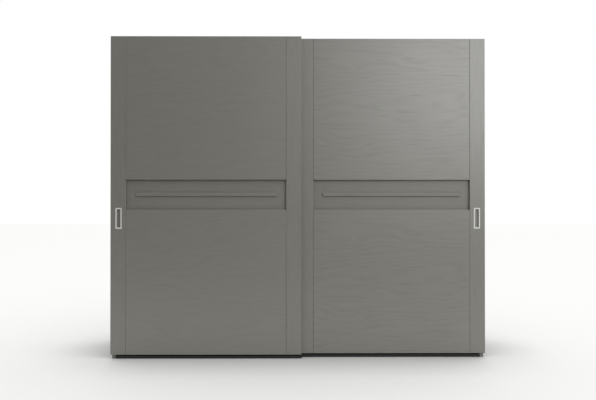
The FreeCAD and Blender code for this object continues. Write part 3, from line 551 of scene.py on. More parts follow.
def add_turned(bm, profile, base, direction, steps=32):
    """Rings of (radius, height) about a line through base. A radius may be a function of the turn."""
    turn = Vector(direction).to_track_quat("Z", "Y")
    rings = []
    for radius, height in profile:
        if radius == 0:
            rings.append([bm.verts.new(Vector(base) + turn @ Vector((0, 0, height)))])
            continue
        ring = []
        for i in range(steps):
            angle = 2 * math.pi * i / steps
            reach = radius(angle) if callable(radius) else radius
            spot = Vector((math.cos(angle) * reach, math.sin(angle) * reach, height))
            ring.append(bm.verts.new(Vector(base) + turn @ spot))
        rings.append(ring)
    for near, far in zip(rings, rings[1:]):
        for i in range(steps):
            j = (i + 1) % steps
            if len(near) == 1:
                bm.faces.new((near[0], far[j], far[i]))
            elif len(far) == 1:
                bm.faces.new((near[i], near[j], far[0]))
            else:
                bm.faces.new((near[i], near[j], far[j], far[i]))
    return rings


def add_tube(bm, profile, base, direction, steps=32):
    """A turned piece with a hole through it: the last ring joins the first."""
    rings = add_turned(bm, profile, base, direction, steps)
    for i in range(steps):
        j = (i + 1) % steps
        bm.faces.new((rings[-1][i], rings[-1][j], rings[0][j], rings[0][i]))


def add_board(bm, low, high, radius, only_front=True, steps=4):
    """A board from its two corners, with the arrises of its front, or all of them, rounded over."""
    middle = (low + high) / 2
    size = high - low
    matrix = Matrix.Translation(middle) @ Matrix.Diagonal((*size, 1.0))
    corners = bmesh.ops.create_cube(bm, size=1.0, matrix=matrix)["verts"]
    edges = {edge for corner in corners for edge in corner.link_edges}
    if only_front:
        edges = {e for e in edges if all(abs(v.co.y - low.y) < 1e-6 for v in e.verts)}
    bmesh.ops.bevel(bm, geom=list(edges), offset=radius, segments=steps, profile=0.5, affect="EDGES")


def add_seamed_board(bm, low, high, seams):
    """A board with rounded front arrises, whose front layer stands back a hair at the seams.

    Seams are the ends of X, -1 and 1, at which another board meets it.
    """
    front_low = low.copy()
    front_high = Vector((high.x, low.y + SEAM_DEPTH + 0.2 * MM, high.z))
    if -1 in seams:
        front_low.x += SEAM
    if 1 in seams:
        front_high.x -= SEAM
    add_board(bm, front_low, front_high, ARRIS)
    add_board(bm, Vector((low.x, low.y + SEAM_DEPTH, low.z)), high, 0.1 * MM)


def add_bent_plate(bm, outline, start, end, plate, corner):
    """A bent strip whose free ends have their two corners rounded."""
    made = add_run(bm, outline, start, end)
    ends = []
    for ring in made:
        for i, vert in enumerate(ring):
            other = ring[(i + 1) % len(ring)]
            if abs((vert.co - other.co).length - plate) < 1e-5:
                ends.append(bm.edges.get((vert, other)))
    bmesh.ops.bevel(bm, geom=ends, offset=corner, segments=5, profile=0.5, affect="EDGES")


def drive(reach, waist, arm=math.radians(13)):
    """The outline of a cross recess as a radius for each turn."""
    quarter = math.pi / 2
    return lambda angle: reach if abs((angle + arm * 1.5) % quarter - arm * 1.5) < arm else waist


CREASE = math.radians(32)
BROAD = 8


def write_mesh(bm, mesh):
    """The faces as a mesh with smooth curves. Corners and the rims of broad flat faces stay crisp."""
    for face in bm.faces:
        face.smooth = True
    for edge in bm.edges:
        if len(edge.link_faces) != 2:
            continue
        small, large = sorted(face.calc_area() for face in edge.link_faces)
        turn = edge.calc_face_angle(0.0)
        edge.smooth = turn < CREASE and (turn < 0.01 or large < BROAD * small)
    bm.to_mesh(mesh)
    bm.free()


def new_object(name, bm, *materials):
    bmesh.ops.recalc_face_normals(bm, faces=bm.faces)
    mesh = bpy.data.meshes.new(name)
    write_mesh(bm, mesh)
    for material in materials:
        mesh.materials.append(material)
    piece = bpy.data.objects.new(name, mesh)
    bpy.context.scene.collection.objects.link(piece)
    return piece


def along_axis(axis, sign):
    """A unit vector along one of the axes 0, 1 and 2, forwards or back."""
    direction = Vector((0, 0, 0))
    direction[axis] = sign
    return direction


def settle(piece, node, stands_in=True):
    """The piece moves with the node's body and, as a rule, is shown in its stead."""
    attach(piece, BODY_OF[node])
    if stands_in:
        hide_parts(node)
    return piece


def carved(name, blank, cutters, material):
    """The blank, which may be of several layers, with the cutters taken out of it."""
    whole = new_object(name, blank, material)
    tool = new_object(f"{name}_cutter", cutters, material)
    cut = whole.modifiers.new("cut", "BOOLEAN")
    cut.operation = "DIFFERENCE"
    cut.solver = "EXACT"
    cut.use_self = True
    cut.object = tool
    result = frozen(whole)
    bpy.data.objects.remove(tool)
    return result


def frozen(piece):
    """The piece with its modifiers made part of its mesh."""
    evaluated = piece.evaluated_get(bpy.context.evaluated_depsgraph_get())
    mesh = bpy.data.meshes.new_from_object(evaluated)
    mesh.name = piece.name
    piece.modifiers.clear()
    piece.data = mesh
    bm = bmesh.new()
    bm.from_mesh(mesh)
    write_mesh(bm, mesh)
    return piece


# ---------------------------------------------------------------- pieces that repeat


def make_repeat_tree():
    """Geometry nodes: one shape stood on every point, along the point's own direction."""
    tree = bpy.data.node_groups.new("repeat_on_points", "GeometryNodeTree")
    for kind, label in (
        ("Geometry", "Points"),
        ("Object", "Shape"),
        ("Float", "Spin"),
        ("Float", "Lean"),
        ("Float", "Size Change"),
        ("Int", "Seed"),
        ("Material", "Finish"),
    ):
        tree.interface.new_socket(label, in_out="INPUT", socket_type=f"NodeSocket{kind}")
    tree.interface.new_socket("Pieces", in_out="OUTPUT", socket_type="NodeSocketGeometry")
    s = Sheet(tree)
    given = s.add("NodeGroupInput").outputs
    shape = s.add("GeometryNodeObjectInfo", {"Object": given["Shape"]}).outputs["Geometry"]
    facing = s.add("GeometryNodeInputNamedAttribute", {"Name": "facing"}, data_type="FLOAT_VECTOR")
    upright = s.add("FunctionNodeAlignRotationToVector", {"Vector": facing.outputs[0]}, axis="Z")
    tilt = s.add("ShaderNodeCombineXYZ", {0: given["Lean"], 1: given["Lean"], 2: given["Spin"]}).outputs[0]
    back = s.add("ShaderNodeVectorMath", {0: tilt, "Scale": -1.0}, operation="SCALE").outputs[0]
    chance = s.add(
        "FunctionNodeRandomValue",
        {"Min": back, "Max": tilt, "Seed": given["Seed"]},
        data_type="FLOAT_VECTOR",
    ).outputs["Value"]
    nudge = s.add("FunctionNodeEulerToRotation", {"Euler": chance}).outputs[0]
    turned = s.add(
        "FunctionNodeRotateRotation",
        {"Rotation": upright.outputs[0], "Rotate By": nudge},
        rotation_space="LOCAL",
    ).outputs[0]
    least = s.minus(1.0, given["Size Change"])
    height = s.add("FunctionNodeRandomValue", data_type="FLOAT")
    low, high = [socket for socket in height.inputs if socket.enabled and socket.name in ("Min", "Max")]
    s.feed(low, least)
    s.feed(high, 1.0)
    seed = next(socket for socket in height.inputs if socket.name == "Seed")
    s.feed(seed, given["Seed"])
    share = next(socket for socket in height.outputs if socket.enabled)
    size = s.add("ShaderNodeCombineXYZ", {0: 1.0, 1: 1.0, 2: share}).outputs[0]
    stood = s.add(
        "GeometryNodeInstanceOnPoints",
        {"Points": given["Points"], "Instance": shape, "Rotation": turned, "Scale": size},
    ).outputs[0]
    real = s.add("GeometryNodeRealizeInstances", {"Geometry": stood}).outputs[0]
    done = s.add("GeometryNodeSetMaterial", {"Geometry": real, "Material": given["Finish"]}).outputs[0]
    s.give(Pieces=done)
    return tree


REPEAT = make_repeat_tree()


def repeated(name, shape, spots, material, spin=0.0, lean=0.0, change=0.0, seed=7):
    """One plain mesh of the shape at every spot, each spot being a place and a direction."""
    template = new_object(f"{name}_shape", shape, material)
    mesh = bpy.data.meshes.new(name)
    mesh.from_pydata([tuple(place) for place, _ in spots], [], [])
    facing = mesh.attributes.new("facing", "FLOAT_VECTOR", "POINT")
    for item, (_, direction) in zip(facing.data, spots):
        item.vector = direction
    piece = bpy.data.objects.new(name, mesh)
    bpy.context.scene.collection.objects.link(piece)
    modifier = piece.modifiers.new("repeat", "NODES")
    modifier.node_group = REPEAT
    wanted = {"Shape": template, "Spin": spin, "Lean": lean, "Size Change": change, "Seed": seed,
              "Finish": material}
    for item in REPEAT.interface.items_tree:
        if item.item_type == "SOCKET" and item.name in wanted:
            modifier[item.identifier] = wanted[item.name]
    frozen(piece)
    for attribute in [a for a in piece.data.attributes if a.name == "facing"]:
        piece.data.attributes.remove(attribute)
    bpy.data.objects.remove(template)
    dress(piece, material)
    return piece


# ---------------------------------------------------------------- finishes

back_sheet = plain_board("back_sheet", BACK_SHEET, 0.7)
black_board = plain_board("black_board", PLINTH_BLACK, 0.6)
brushed_pull = worked_metal("brushed_pull", PULL_METAL, "z", 0.5, 0.05, metallic=0.2)
pull_tray = worked_metal("pull_tray", TRAY_METAL_PAINTED_SHADE, "z", 0.45, 0.3, metallic=0.35)
extruded = worked_metal("extruded_track", EXTRUSION, "x", 0.38)
zinc_plate = worked_metal("zinc_plate", ZINC, "none", 0.42, 0.4, 160.0)
polished_tube = worked_metal("polished_tube", CHROME, "x", 0.14, 0.1)
black_moulding = moulded("black_moulding", PLINTH_BLACK, 0.55)
bearing_seal = moulded("bearing_seal", BEARING_SEAL, 0.6)
white_nylon = moulded("white_nylon", NYLON, 0.42)
soft_rubber = moulded("soft_rubber", RUBBER, 0.75, 300.0, 0.0001)
pile_fibre = moulded("pile_fibre", PILE, 0.85)

FINISH_OF = {
    "back_board": back_sheet,
    "black_plinth": black_board,
    "pull_metal": brushed_pull,
    "track_aluminium": extruded,
    "zinc_steel": zinc_plate,
    "rail_chrome": polished_tube,
    "black_plastic": black_moulding,
    "white_nylon": white_nylon,
    "buffer_rubber": soft_rubber,
    "seal_pile": pile_fibre,
}


# ---------------------------------------------------------------- doors

FLANGE = 1.6 * MM
PULL_WALL = 1.5 * MM
FLANGE_REACH = 9 * MM
BATTEN_ROUND = 3 * MM
FIGURE = {"outer": 0.3, "inner": 0.5}
RECESS_FINISH = (0.45, 0.25, 0.65)


def make_door_boards(door, number):
    """Stiles, panels and recess panel: boards whose front arrises are rounded over."""
    for part in ("upper_panel", "lower_panel", "recess_panel"):
        node = f"{door}_{part}"
        low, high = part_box(node)
        bm = bmesh.new()
        if part == "recess_panel":
            add_board(bm, low, high, 0.3 * MM)
        else:
            add_seamed_board(bm, low, high, (-1, 1))
        seed = 3.7 * number + len(part)
        rough, figure, sheen = RECESS_FINISH if part == "recess_panel" else (0.4, FIGURE[door], 1.0)
        wood = lacquered_wood(f"{node}_lacquer", LACQUER, "x", mid(node), seed, rough, figure, sheen)
        settle(new_object(f"{node}_board", bm, wood), node)
    pull_low, pull_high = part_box(f"{door}_finger_pull")
    for side in ("left_stile", "right_stile"):
        node = f"{door}_{side}"
        low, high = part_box(node)
        bm = bmesh.new()
        add_seamed_board(bm, low, high, (1,) if side == "left_stile" else (-1,))
        seed = 5.1 * number + len(side)
        wood = lacquered_wood(f"{node}_lacquer", LACQUER, "z", mid(node), seed, figure=0.3)
        if low.x < pull_low.x < high.x:
            housing = bmesh.new()
            fit = Vector((0.2 * MM, 0.0, 0.2 * MM))
            front = Vector((0.0, -5 * MM, 0.0))
            seat = Vector((pull_high.x, pull_low.y + FLANGE, pull_high.z))
            add_board(housing, pull_low - fit + front, seat + fit, 0.1 * MM)
            reach = Vector((FLANGE_REACH, 0.0, FLANGE_REACH)) - fit
            back = Vector((0.0, 0.2 * MM, 0.0))
            add_board(housing, pull_low + reach + front, pull_high - reach + back, 0.1 * MM)
            settle(carved(f"{node}_board", bm, housing, wood), node)
        else:
            settle(new_object(f"{node}_board", bm, wood), node)


def make_batten(door, number):
    """The raised bar in the recess, with softened front edges and ends."""
    node = f"{door}_batten"
    low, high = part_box(node)
    bm = bmesh.new()
    add_board(bm, low, high, BATTEN_ROUND, steps=6)
    wood = lacquered_wood(f"{node}_lacquer", LACQUER, "x", mid(node), 9.0 + number, *RECESS_FINISH)
    settle(new_object(f"{node}_bar", bm, wood), node)


def make_finger_pull(door):
    """A flush pull: a satin frame around a tray in a darker copy of its metal, which paints the shade of the
    pull's hollow.
    """
    node = f"{door}_finger_pull"
    low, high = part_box(node)
    middle = (low + high) / 2
    half_x, half_z = (high.x - low.x) / 2, (high.z - low.z) / 2
    rim = FLANGE_REACH + PULL_WALL
    depth = high.y - low.y
    soft = 0.5 * MM
    sections = [
        # inset from the edge of the frame, corner radius, distance behind its front
        (rim + 4 * MM, 2 * MM, depth - PULL_WALL),
        (rim + 1.2 * MM, 4 * MM, depth - PULL_WALL - 0.6 * MM),
        (rim + 0.4 * MM, 4.4 * MM, depth - PULL_WALL - 3 * MM),
        (rim, 4.5 * MM, 2.2 * MM),
        (rim - 0.2 * MM, 4.6 * MM, 1.0 * MM),
        (rim - 0.8 * MM, 5 * MM, soft / 2),
        (rim - 1.4 * MM, 5.4 * MM, 0.0),
        (soft, 2.2 * MM, 0.0),
        (soft / 4, 2.5 * MM, soft / 3),
        (0.0, 2.6 * MM, soft),
        (0.0, 2.6 * MM, FLANGE),
        (FLANGE_REACH, 4.8 * MM, FLANGE),
        (FLANGE_REACH, 4.8 * MM, depth - 1 * MM),
        (FLANGE_REACH + 1 * MM, 4 * MM, depth),
    ]
    rings = []
    for inset, radius, back in sections:
        outline = rounded_rectangle(half_x - inset, half_z - inset, radius)
        rings.append([(middle.x + u, low.y + back, middle.z + v) for u, v in outline])
    bm = bmesh.new()
    add_loft(bm, rings)
    for face in bm.faces:
        spot = face.calc_center_median()
        inside = max(abs(spot.x - middle.x) - half_x, abs(spot.z - middle.z) - half_z) < -rim + 0.1 * MM
        # Faces inside the rim take the darker copy of the metal: painted shade in the pull's hollow.
        face.material_index = 1 if inside and spot.y > low.y + 1.4 * MM else 0
    settle(new_object(f"{node}_frame", bm, brushed_pull, pull_tray), node)


# ---------------------------------------------------------------- screws, drums and pins


def screw_shape(length, head=1.2 * MM, radius=4 * MM, shank=2 * MM):
    """A pan-head screw that stands on its head's seat, with a cross recess."""
    bm = bmesh.new()
    cross = drive(radius * 0.5, radius * 0.16)
    small = drive(radius * 0.42, radius * 0.12)
    profile = [
        (0, -length),
        (shank * 0.7, -length + 2.5 * MM),
        (shank, -length + 4 * MM),
        (shank, 0.0),
        (radius, 0.0),
        (radius, head * 0.35),
        (radius * 0.9, head * 0.75),
        (radius * 0.72, head * 0.95),
        (radius * 0.58, head),
        (cross, head),
        (small, head * 0.3),
        (0, head * 0.15),
    ]
    add_turned(bm, profile, (0, 0, 0), (0, 0, 1), 28)
    return bm


def make_screws(node):
    """Every screw of a node, its head at the end that the node's own head is at."""
    head = 1.2 * MM
    spots = []
    for one in solids(node):
        axis, sign = one.line()
        place = one.mid.copy()
        place[axis] = one.high[axis] - head if sign > 0 else one.low[axis] + head
        spots.append((place, along_axis(axis, sign)))
        length = one.size[axis] - head
    settle(repeated(f"{node}_set", screw_shape(length), spots, zinc_plate, spin=math.pi), node)


def make_cam_fittings():
    """Cam drums with a rimmed face and a cross recess, flush with their board, and the bolts they draw in."""
    spots = []
    bolts = bmesh.new()
    for one in solids("cam_fittings"):
        along, sign = one.line()
        across, through = sorted((i for i in range(3) if i != along), key=lambda i: one.size[i])
        radius = one.size[across] / 2
        deep = one.size[through]
        face = one.mid.copy()
        face[along] = one.high[along] - radius if sign > 0 else one.low[along] + radius
        face[through] = one.low[through]
        spots.append((face, along_axis(through, -1)))

        end = one.low[along] if sign > 0 else one.high[along]
        tip = [Vector(c) for c in one.corners if abs(c[along] - end) < 0.1 * MM]
        rod = (max(c[across] for c in tip) - min(c[across] for c in tip)) / 2
        start = sum(tip, Vector()) / len(tip)
        length = one.size[along] - 2 * radius + 2 * MM
        neck = length * 0.4
        profile = [(0, 0.0), (rod * 0.8, 0.0), (rod, 1 * MM), (rod, neck), (rod * 0.6, neck + 1 * MM),
                   (rod * 0.6, length - 3 * MM), (rod, length - 2 * MM), (rod, length), (0, length)]
        add_turned(bolts, profile, start, along_axis(along, sign), 16)

    bm = bmesh.new()
    profile = [
        (0, -deep),
        (radius, -deep),
        (radius, -0.5 * MM),
        (radius - 0.4 * MM, 0.0),
        (radius - 1.2 * MM, 0.0),
        (radius - 1.5 * MM, -0.4 * MM),
        (radius * 0.55, -0.4 * MM),
        (drive(radius * 0.48, radius * 0.14), -0.4 * MM),
        (drive(radius * 0.4, radius * 0.1), -2.4 * MM),
        (0, -2.8 * MM),
    ]
    add_turned(bm, profile, (0, 0, 0), (0, 0, 1), 28)
    settle(repeated("cam_drum_set", bm, spots, zinc_plate, spin=0.5), "cam_fittings")
    settle(new_object("cam_bolt_set", bolts, zinc_plate), "cam_fittings", stands_in=False)


def make_shelf_pins():
    spots = []
    for one in solids("shelf_pins"):
        spots.append((Vector((one.low.x, one.mid.y, one.mid.z)), Vector((1, 0, 0))))
        radius = one.size.z / 2
        length = one.size.x
    bm = bmesh.new()
    ease = 0.5 * MM
    waist = length * 0.52
    profile = [
        (0, 0.0),
        (radius - ease, 0.0),
        (radius, ease),
        (radius, waist),
        (radius - ease, waist + ease),
        (radius - ease, waist + 2 * ease),
        (radius, waist + 3 * ease),
        (radius, length - ease),
        (radius - ease, length),
        (0, length),
    ]
    add_turned(bm, profile, (0, 0, 0), (0, 0, 1), 20)
    settle(repeated("shelf_pin_set", bm, spots, zinc_plate), "shelf_pins")


# ---------------------------------------------------------------- running gear

PLATE = 3 * MM
BEND = 2 * MM
HANGER_DROP = 42 * MM
SHOE_HEIGHT = 12 * MM
RIB_HALF = 2 * MM


def both_sides(profile, width):
    """The profile of one side of a wheel, followed back down the other side."""
    return profile + [(radius, width - height) for radius, height in reversed(profile)]


def make_wheel(node):
    """A nylon wheel with a groove for the rail, around a sealed bearing."""
    low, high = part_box(node)
    base = Vector(((low.x + high.x) / 2, low.y, (low.z + high.z) / 2))
    width = high.y - low.y
    flange = (high.x - low.x) / 2
    tread = flange - 2 * MM
    ease = 0.6 * MM
    race = 9 * MM
    groove = 2.4 * MM
    tyre = [
        (race, 0.5 * MM),
        (race + 0.5 * MM, 0.0),
        (flange - ease, 0.0),
        (flange, ease),
        (flange, width / 2 - groove - 1.1 * MM),
        (tread + 0.3 * MM, width / 2 - groove),
        (tread, width / 2 - groove + 0.3 * MM),
    ]
    bm = bmesh.new()
    add_tube(bm, both_sides(tyre, width), base, (0, 1, 0), 56)
    settle(new_object(f"{node}_tyre", bm, white_nylon), node)
    hub = 3.05 * MM
    bearing = [
        (hub, 1.0 * MM),
        (hub + 0.3 * MM, 0.6 * MM),
        (5.0 * MM, 0.6 * MM),
        (5.2 * MM, 1.2 * MM),
        (7.4 * MM, 1.2 * MM),
        (7.6 * MM, 0.6 * MM),
        (race - 0.3 * MM, 0.6 * MM),
        (race, 1.0 * MM),
    ]
    bm = bmesh.new()
    add_tube(bm, both_sides(bearing, width), base, (0, 1, 0), 40)
    for face in bm.faces:
        spot = face.calc_center_median() - base
        reach = math.hypot(spot.x, spot.z)
        face.material_index = 1 if 5.15 * MM < reach < 7.45 * MM else 0
    piece = new_object(f"{node}_bearing", bm, zinc_plate, bearing_seal)
    settle(piece, node, stands_in=False)


def make_axles(door):
    """Riveted axles with domed ends and a shoulder that keeps the wheel off its plate."""
    node = f"{door}_wheel_axles"
    wheel_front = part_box(f"{door}_left_wheel_a")[0].y
    bm = bmesh.new()
    pin, cap, dome = 3 * MM, 5 * MM, 1.5 * MM
    for one in solids(node):
        length = one.size.y
        front = wheel_front - one.low.y - 0.5 * MM
        behind = length - dome
        if door == "outer":
            profile = [(0, 0.0), (cap * 0.5, 0.1 * MM), (cap * 0.85, 0.5 * MM), (cap, 1.1 * MM), (cap, dome),
                       (pin, dome), (pin, dome + PLATE), (cap, dome + PLATE)]
        else:
            profile = [(0, 0.0), (pin, 0.0), (pin, PLATE), (cap, PLATE)]
        profile += [(cap, front), (pin, front), (pin, behind), (cap, behind), (cap, behind + 0.4 * MM),
                    (cap * 0.85, length - 0.5 * MM), (cap * 0.5, length - 0.1 * MM), (0, length)]
        add_turned(bm, profile, (one.mid.x, one.low.y, one.mid.z), (0, 1, 0), 24)
    settle(new_object(f"{node}_set", bm, zinc_plate), node)


def make_hangers(door):
    """Hanger plates; the outer door's reach over the inner rail and turn down beside their wheels."""
    node = f"{door}_hangers"
    bm = bmesh.new()
    for one in solids(node):
        y, z = one.low.y, one.high.z
        depth, height = one.size.y, one.size.z
        if door == "outer":
            corners = [
                (y, z, PLATE + BEND),
                (y + depth, z, PLATE + BEND),
                (y + depth, z - HANGER_DROP),
                (y + depth - PLATE, z - HANGER_DROP),
                (y + depth - PLATE, z - PLATE, BEND),
                (y + PLATE, z - PLATE, BEND),
                (y + PLATE, z - height),
                (y, z - height),
            ]
        else:
            corners = [(y, z), (y + PLATE, z), (y + PLATE, z - height), (y, z - height)]
        add_bent_plate(bm, rounded(corners), one.low.x, one.high.x, PLATE, 8 * MM)
    settle(new_object(f"{node}_plates", bm, zinc_plate), node)


def make_guides(door):
    """Angles under the door, each with a nylon shoe on a post."""
    node = f"{door}_guide_brackets"
    bm = bmesh.new()
    for one in solids(node):
        y, z = one.low.y, one.low.z
        corners = [
            (y, z, PLATE + BEND),
            (y + one.size.y, z),
            (y + one.size.y, z + PLATE),
            (y + PLATE, z + PLATE, BEND),
            (y + PLATE, z + one.size.z),
            (y, z + one.size.z),
        ]
        add_bent_plate(bm, rounded(corners), one.low.x, one.high.x, PLATE, 7 * MM)
    settle(new_object(f"{node}_angles", bm, zinc_plate), node)

    node = f"{door}_guide_shoes"
    bm = bmesh.new()
    for one in solids(node):
        low = Vector((one.low.x, one.low.y, one.high.z - SHOE_HEIGHT))
        add_board(bm, low, one.high, 1.8 * MM, only_front=False)
        post = 4.5 * MM
        rise = low.z - one.low.z + 3 * MM
        profile = [(0, 0.0), (post, 0.0), (post, rise * 0.3), (post * 0.8, rise * 0.4),
                   (post * 0.8, rise), (0, rise)]
        add_turned(bm, profile, (one.mid.x, one.mid.y, one.low.z), (0, 0, 1), 20)
    settle(new_object(f"{node}_set", bm, white_nylon), node)


def make_brush_seal(door):
    """A brush: a lipped backing strip and two rows of tufts down its length."""
    node = f"{door}_brush_seal"
    low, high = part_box(node)
    back = 1.5 * MM
    pile = 3 * MM
    middle = (low.x + high.x) / 2
    lip = 0.8 * MM
    half = (high.x - low.x) / 2
    corners = [
        (half, 0.0),
        (half, back, 0.4 * MM),
        (pile / 2 + lip, back),
        (pile / 2 + lip, 1.6 * back, 0.3 * MM),
        (pile / 2, 1.6 * back),
        (pile / 2, 0.5 * back),
    ]
    bm = bmesh.new()
    add_run(bm, rounded(mirrored(corners, middle, low.y), 3), low.z, high.z, "z")
    settle(new_object(f"{node}_backing", bm, black_moulding), node)
    pitch = 2.2 * MM
    spots = []
    for row in (-1, 1):
        count = int((high.z - low.z) / pitch)
        for i in range(count):
            z = low.z + pitch * (i + 0.5 + 0.2 * row)
            place = Vector((middle + row * pile / 4, low.y + 0.5 * back, z))
            spots.append((place, Vector((0, 1, 0))))
    tuft = bmesh.new()
    reach = high.y - low.y - 0.5 * back
    profile = [(0, 0.0), (0.5 * MM, 0.0), (0.75 * MM, reach * 0.7), (0.6 * MM, reach * 0.98),
               (0, reach * 0.93)]
    add_turned(tuft, profile, (0, 0, 0), (0, 0, 1), 5)
    tufts = repeated(f"{node}_pile", tuft, spots, pile_fibre, spin=math.pi, lean=0.1, change=0.12, seed=11)
    settle(tufts, node, stands_in=False)


# ---------------------------------------------------------------- tracks, feet, sockets and brackets


def make_top_track():
    """An extrusion with a crowned rib for each door's wheels and a lip along each edge."""
    node = "top_track"
    low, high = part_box(node)
    ribs = [mid(f"{door}_left_wheel_a").y for door in ("inner", "outer")]
    lip, lip_height = 3 * MM, 12 * MM
    foot, crown = 0.8 * MM, 1.5 * MM
    floor = low.z + PLATE
    corners = [
        (low.y, low.z),
        (high.y, low.z),
        (high.y, floor + lip_height, 1.0 * MM),
        (high.y - lip, floor + lip_height, 1.0 * MM),
        (high.y - lip, floor, foot),
    ]
    for rib in reversed(ribs):
        corners += [
            (rib + RIB_HALF, floor, foot),
            (rib + RIB_HALF, high.z, crown),
            (rib - RIB_HALF, high.z, crown),
            (rib - RIB_HALF, floor, foot),
        ]
    corners += [
        (low.y + lip, floor, foot),
        (low.y + lip, floor + lip_height, 1.0 * MM),
        (low.y, floor + lip_height, 1.0 * MM),
    ]
    bm = bmesh.new()
    add_run(bm, rounded(corners, 4), low.x, high.x)
    settle(new_object(f"{node}_extrusion", bm, extruded), node)


def make_bottom_track():
    """Two channels that hang from one plate and open downwards, for the guide shoes."""
    node = "bottom_guide_track"
    low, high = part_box(node)
    channels = [mid(f"{door}_guide_shoes").y for door in ("inner", "outer")]
    half, wall = 6 * MM, 2.5 * MM
    roof = high.z - PLATE
    tip = 0.9 * MM
    foot = 0.6 * MM
    corners = [(low.y, high.z), (low.y, roof)]
    for channel in channels:
        for side in (-1, 1):
            near = channel + side * (half + wall / 2) - wall / 2
            far = near + wall
            corners += [(near, roof, foot), (near, low.z, tip), (far, low.z, tip), (far, roof, foot)]
    corners += [(high.y, roof), (high.y, high.z)]
    kept = [c for i, c in enumerate(corners) if i == 0 or c[:2] != corners[i - 1][:2]]
    bm = bmesh.new()
    add_run(bm, rounded(kept, 4), low.x, high.x)
    settle(new_object(f"{node}_extrusion", bm, extruded), node)


def make_stop_buffers():
    """Rubber saddles over the ends of both ribs."""
    node = "track_stop_buffers"
    bm = bmesh.new()
    slot = 18 * MM
    for one in solids(node):
        half = one.size.y / 2
        corners = [(RIB_HALF, slot), (RIB_HALF, 0.0), (half, 0.0), (half, one.size.z, 3 * MM)]
        add_run(bm, rounded(mirrored(corners, one.mid.y, one.low.z)), one.low.x, one.high.x)
    settle(new_object(f"{node}_set", bm, soft_rubber), node)


def make_levelling_feet():
    """Threaded feet with a round pad and a hexagon, and the sockets they screw into."""
    bm = bmesh.new()
    for one in solids("levelling_feet"):
        base = (one.mid.x, one.mid.y, one.low.z)
        pad = one.size.x / 2
        stem = 5 * MM
        thread = [(stem - 0.5 * MM * (i % 2), 14 * MM + 0.7 * MM * i) for i in range(42)]
        profile = [
            (0, 0.0),
            (pad - 1.5 * MM, 0.0),
            (pad, 1.2 * MM),
            (pad, 5.5 * MM),
            (pad - 1 * MM, 7.4 * MM),
            (pad - 4 * MM, 8 * MM),
            (stem, 8 * MM),
            *thread,
            (stem - 1 * MM, one.size.z),
            (0, one.size.z),
        ]
        add_turned(bm, profile, base, (0, 0, 1), 30)
        hexagon = [(0, 8.2 * MM), (9 * MM, 8.2 * MM), (9 * MM, 13.2 * MM), (8 * MM, 14 * MM), (0, 14 * MM)]
        add_turned(bm, hexagon, base, (0, 0, 1), 6)
    settle(new_object("levelling_feet_set", bm, black_moulding), "levelling_feet")

    bm = bmesh.new()
    for one in solids("levelling_sockets"):
        radius, height = one.size.x / 2, one.size.z
        profile = [
            (5.05 * MM, 1 * MM),
            (6 * MM, 0.0),
            (radius - 6 * MM, 0.0),
            (radius - 5 * MM, 1 * MM),
            (radius - 4 * MM, height - 5 * MM),
            (radius - 2.5 * MM, height - 3.4 * MM),
            (radius - 0.6 * MM, height - 3 * MM),
            (radius, height - 2.4 * MM),
            (radius, height),
            (5.05 * MM, height),
        ]
        add_tube(bm, profile, (one.mid.x, one.mid.y, one.low.z), (0, 0, 1), 40)
    settle(new_object("levelling_sockets_set", bm, black_moulding), "levelling_sockets")


def make_rail_sockets():
    """Cups for the ends of the hanging rails, each on a round plate."""
    bm = bmesh.new()
    for one in solids("rail_end_sockets"):
        plate = one.size.y / 2
        rail = 14.2 * MM
        cup = rail + 2.8 * MM
        deep = one.size.x
        gaps = [abs(one.low.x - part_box(node)[1].x) for node in ("left_side_panel", "centre_partition")]
        left_end = min(gaps) < 2 * MM
        base = Vector((one.low.x if left_end else one.high.x, one.mid.y, one.mid.z))
        direction = (1, 0, 0) if left_end else (-1, 0, 0)
        profile = [
            (0, 0.0),
            (plate, 0.0),
            (plate, 2.4 * MM),
            (plate - 0.6 * MM, 3.4 * MM),
            (plate - 1.6 * MM, 4 * MM),
            (cup + 1 * MM, 4 * MM),
            (cup, 5 * MM),
            (cup, deep - 0.8 * MM),
            (cup - 0.8 * MM, deep),
            (rail + 0.4 * MM, deep),
            (rail, deep - 0.4 * MM),
            (rail, 4 * MM),
            (0, 4 * MM),
        ]
        add_turned(bm, profile, base, direction, 40)
    settle(new_object("rail_end_socket_set", bm, zinc_plate), "rail_end_sockets")


def make_wall_brackets():
    """Angles that tie the top to the wall, with a hole for one anchor each."""
    bm = bmesh.new()
    drills = bmesh.new()
    mount = next(m for m in RECORD["mounts"] if m["name"] == "wall_anchors")
    for one in solids("wall_brackets"):
        y, z = one.high.y, one.low.z
        corners = [
            (y, z, PLATE + BEND),
            (y, one.high.z),
            (y - PLATE, one.high.z),
            (y - PLATE, z + PLATE, BEND),
            (one.low.y, z + PLATE),
            (one.low.y, z),
        ]
        add_bent_plate(bm, rounded(corners), one.low.x, one.high.x, PLATE, 8 * MM)
        hole = mount["dims"]["hole_r_mm"] * MM
        profile = [(0, 0.0), (hole, 0.0), (hole, 3 * PLATE), (0, 3 * PLATE)]
        add_turned(drills, profile, (one.mid.x, y - 2 * PLATE, mount["pos_m"][2]), (0, 1, 0), 24)
    settle(carved("wall_bracket_set", bm, drills, zinc_plate), "wall_brackets")


# ---------------------------------------------------------------- dressing and building

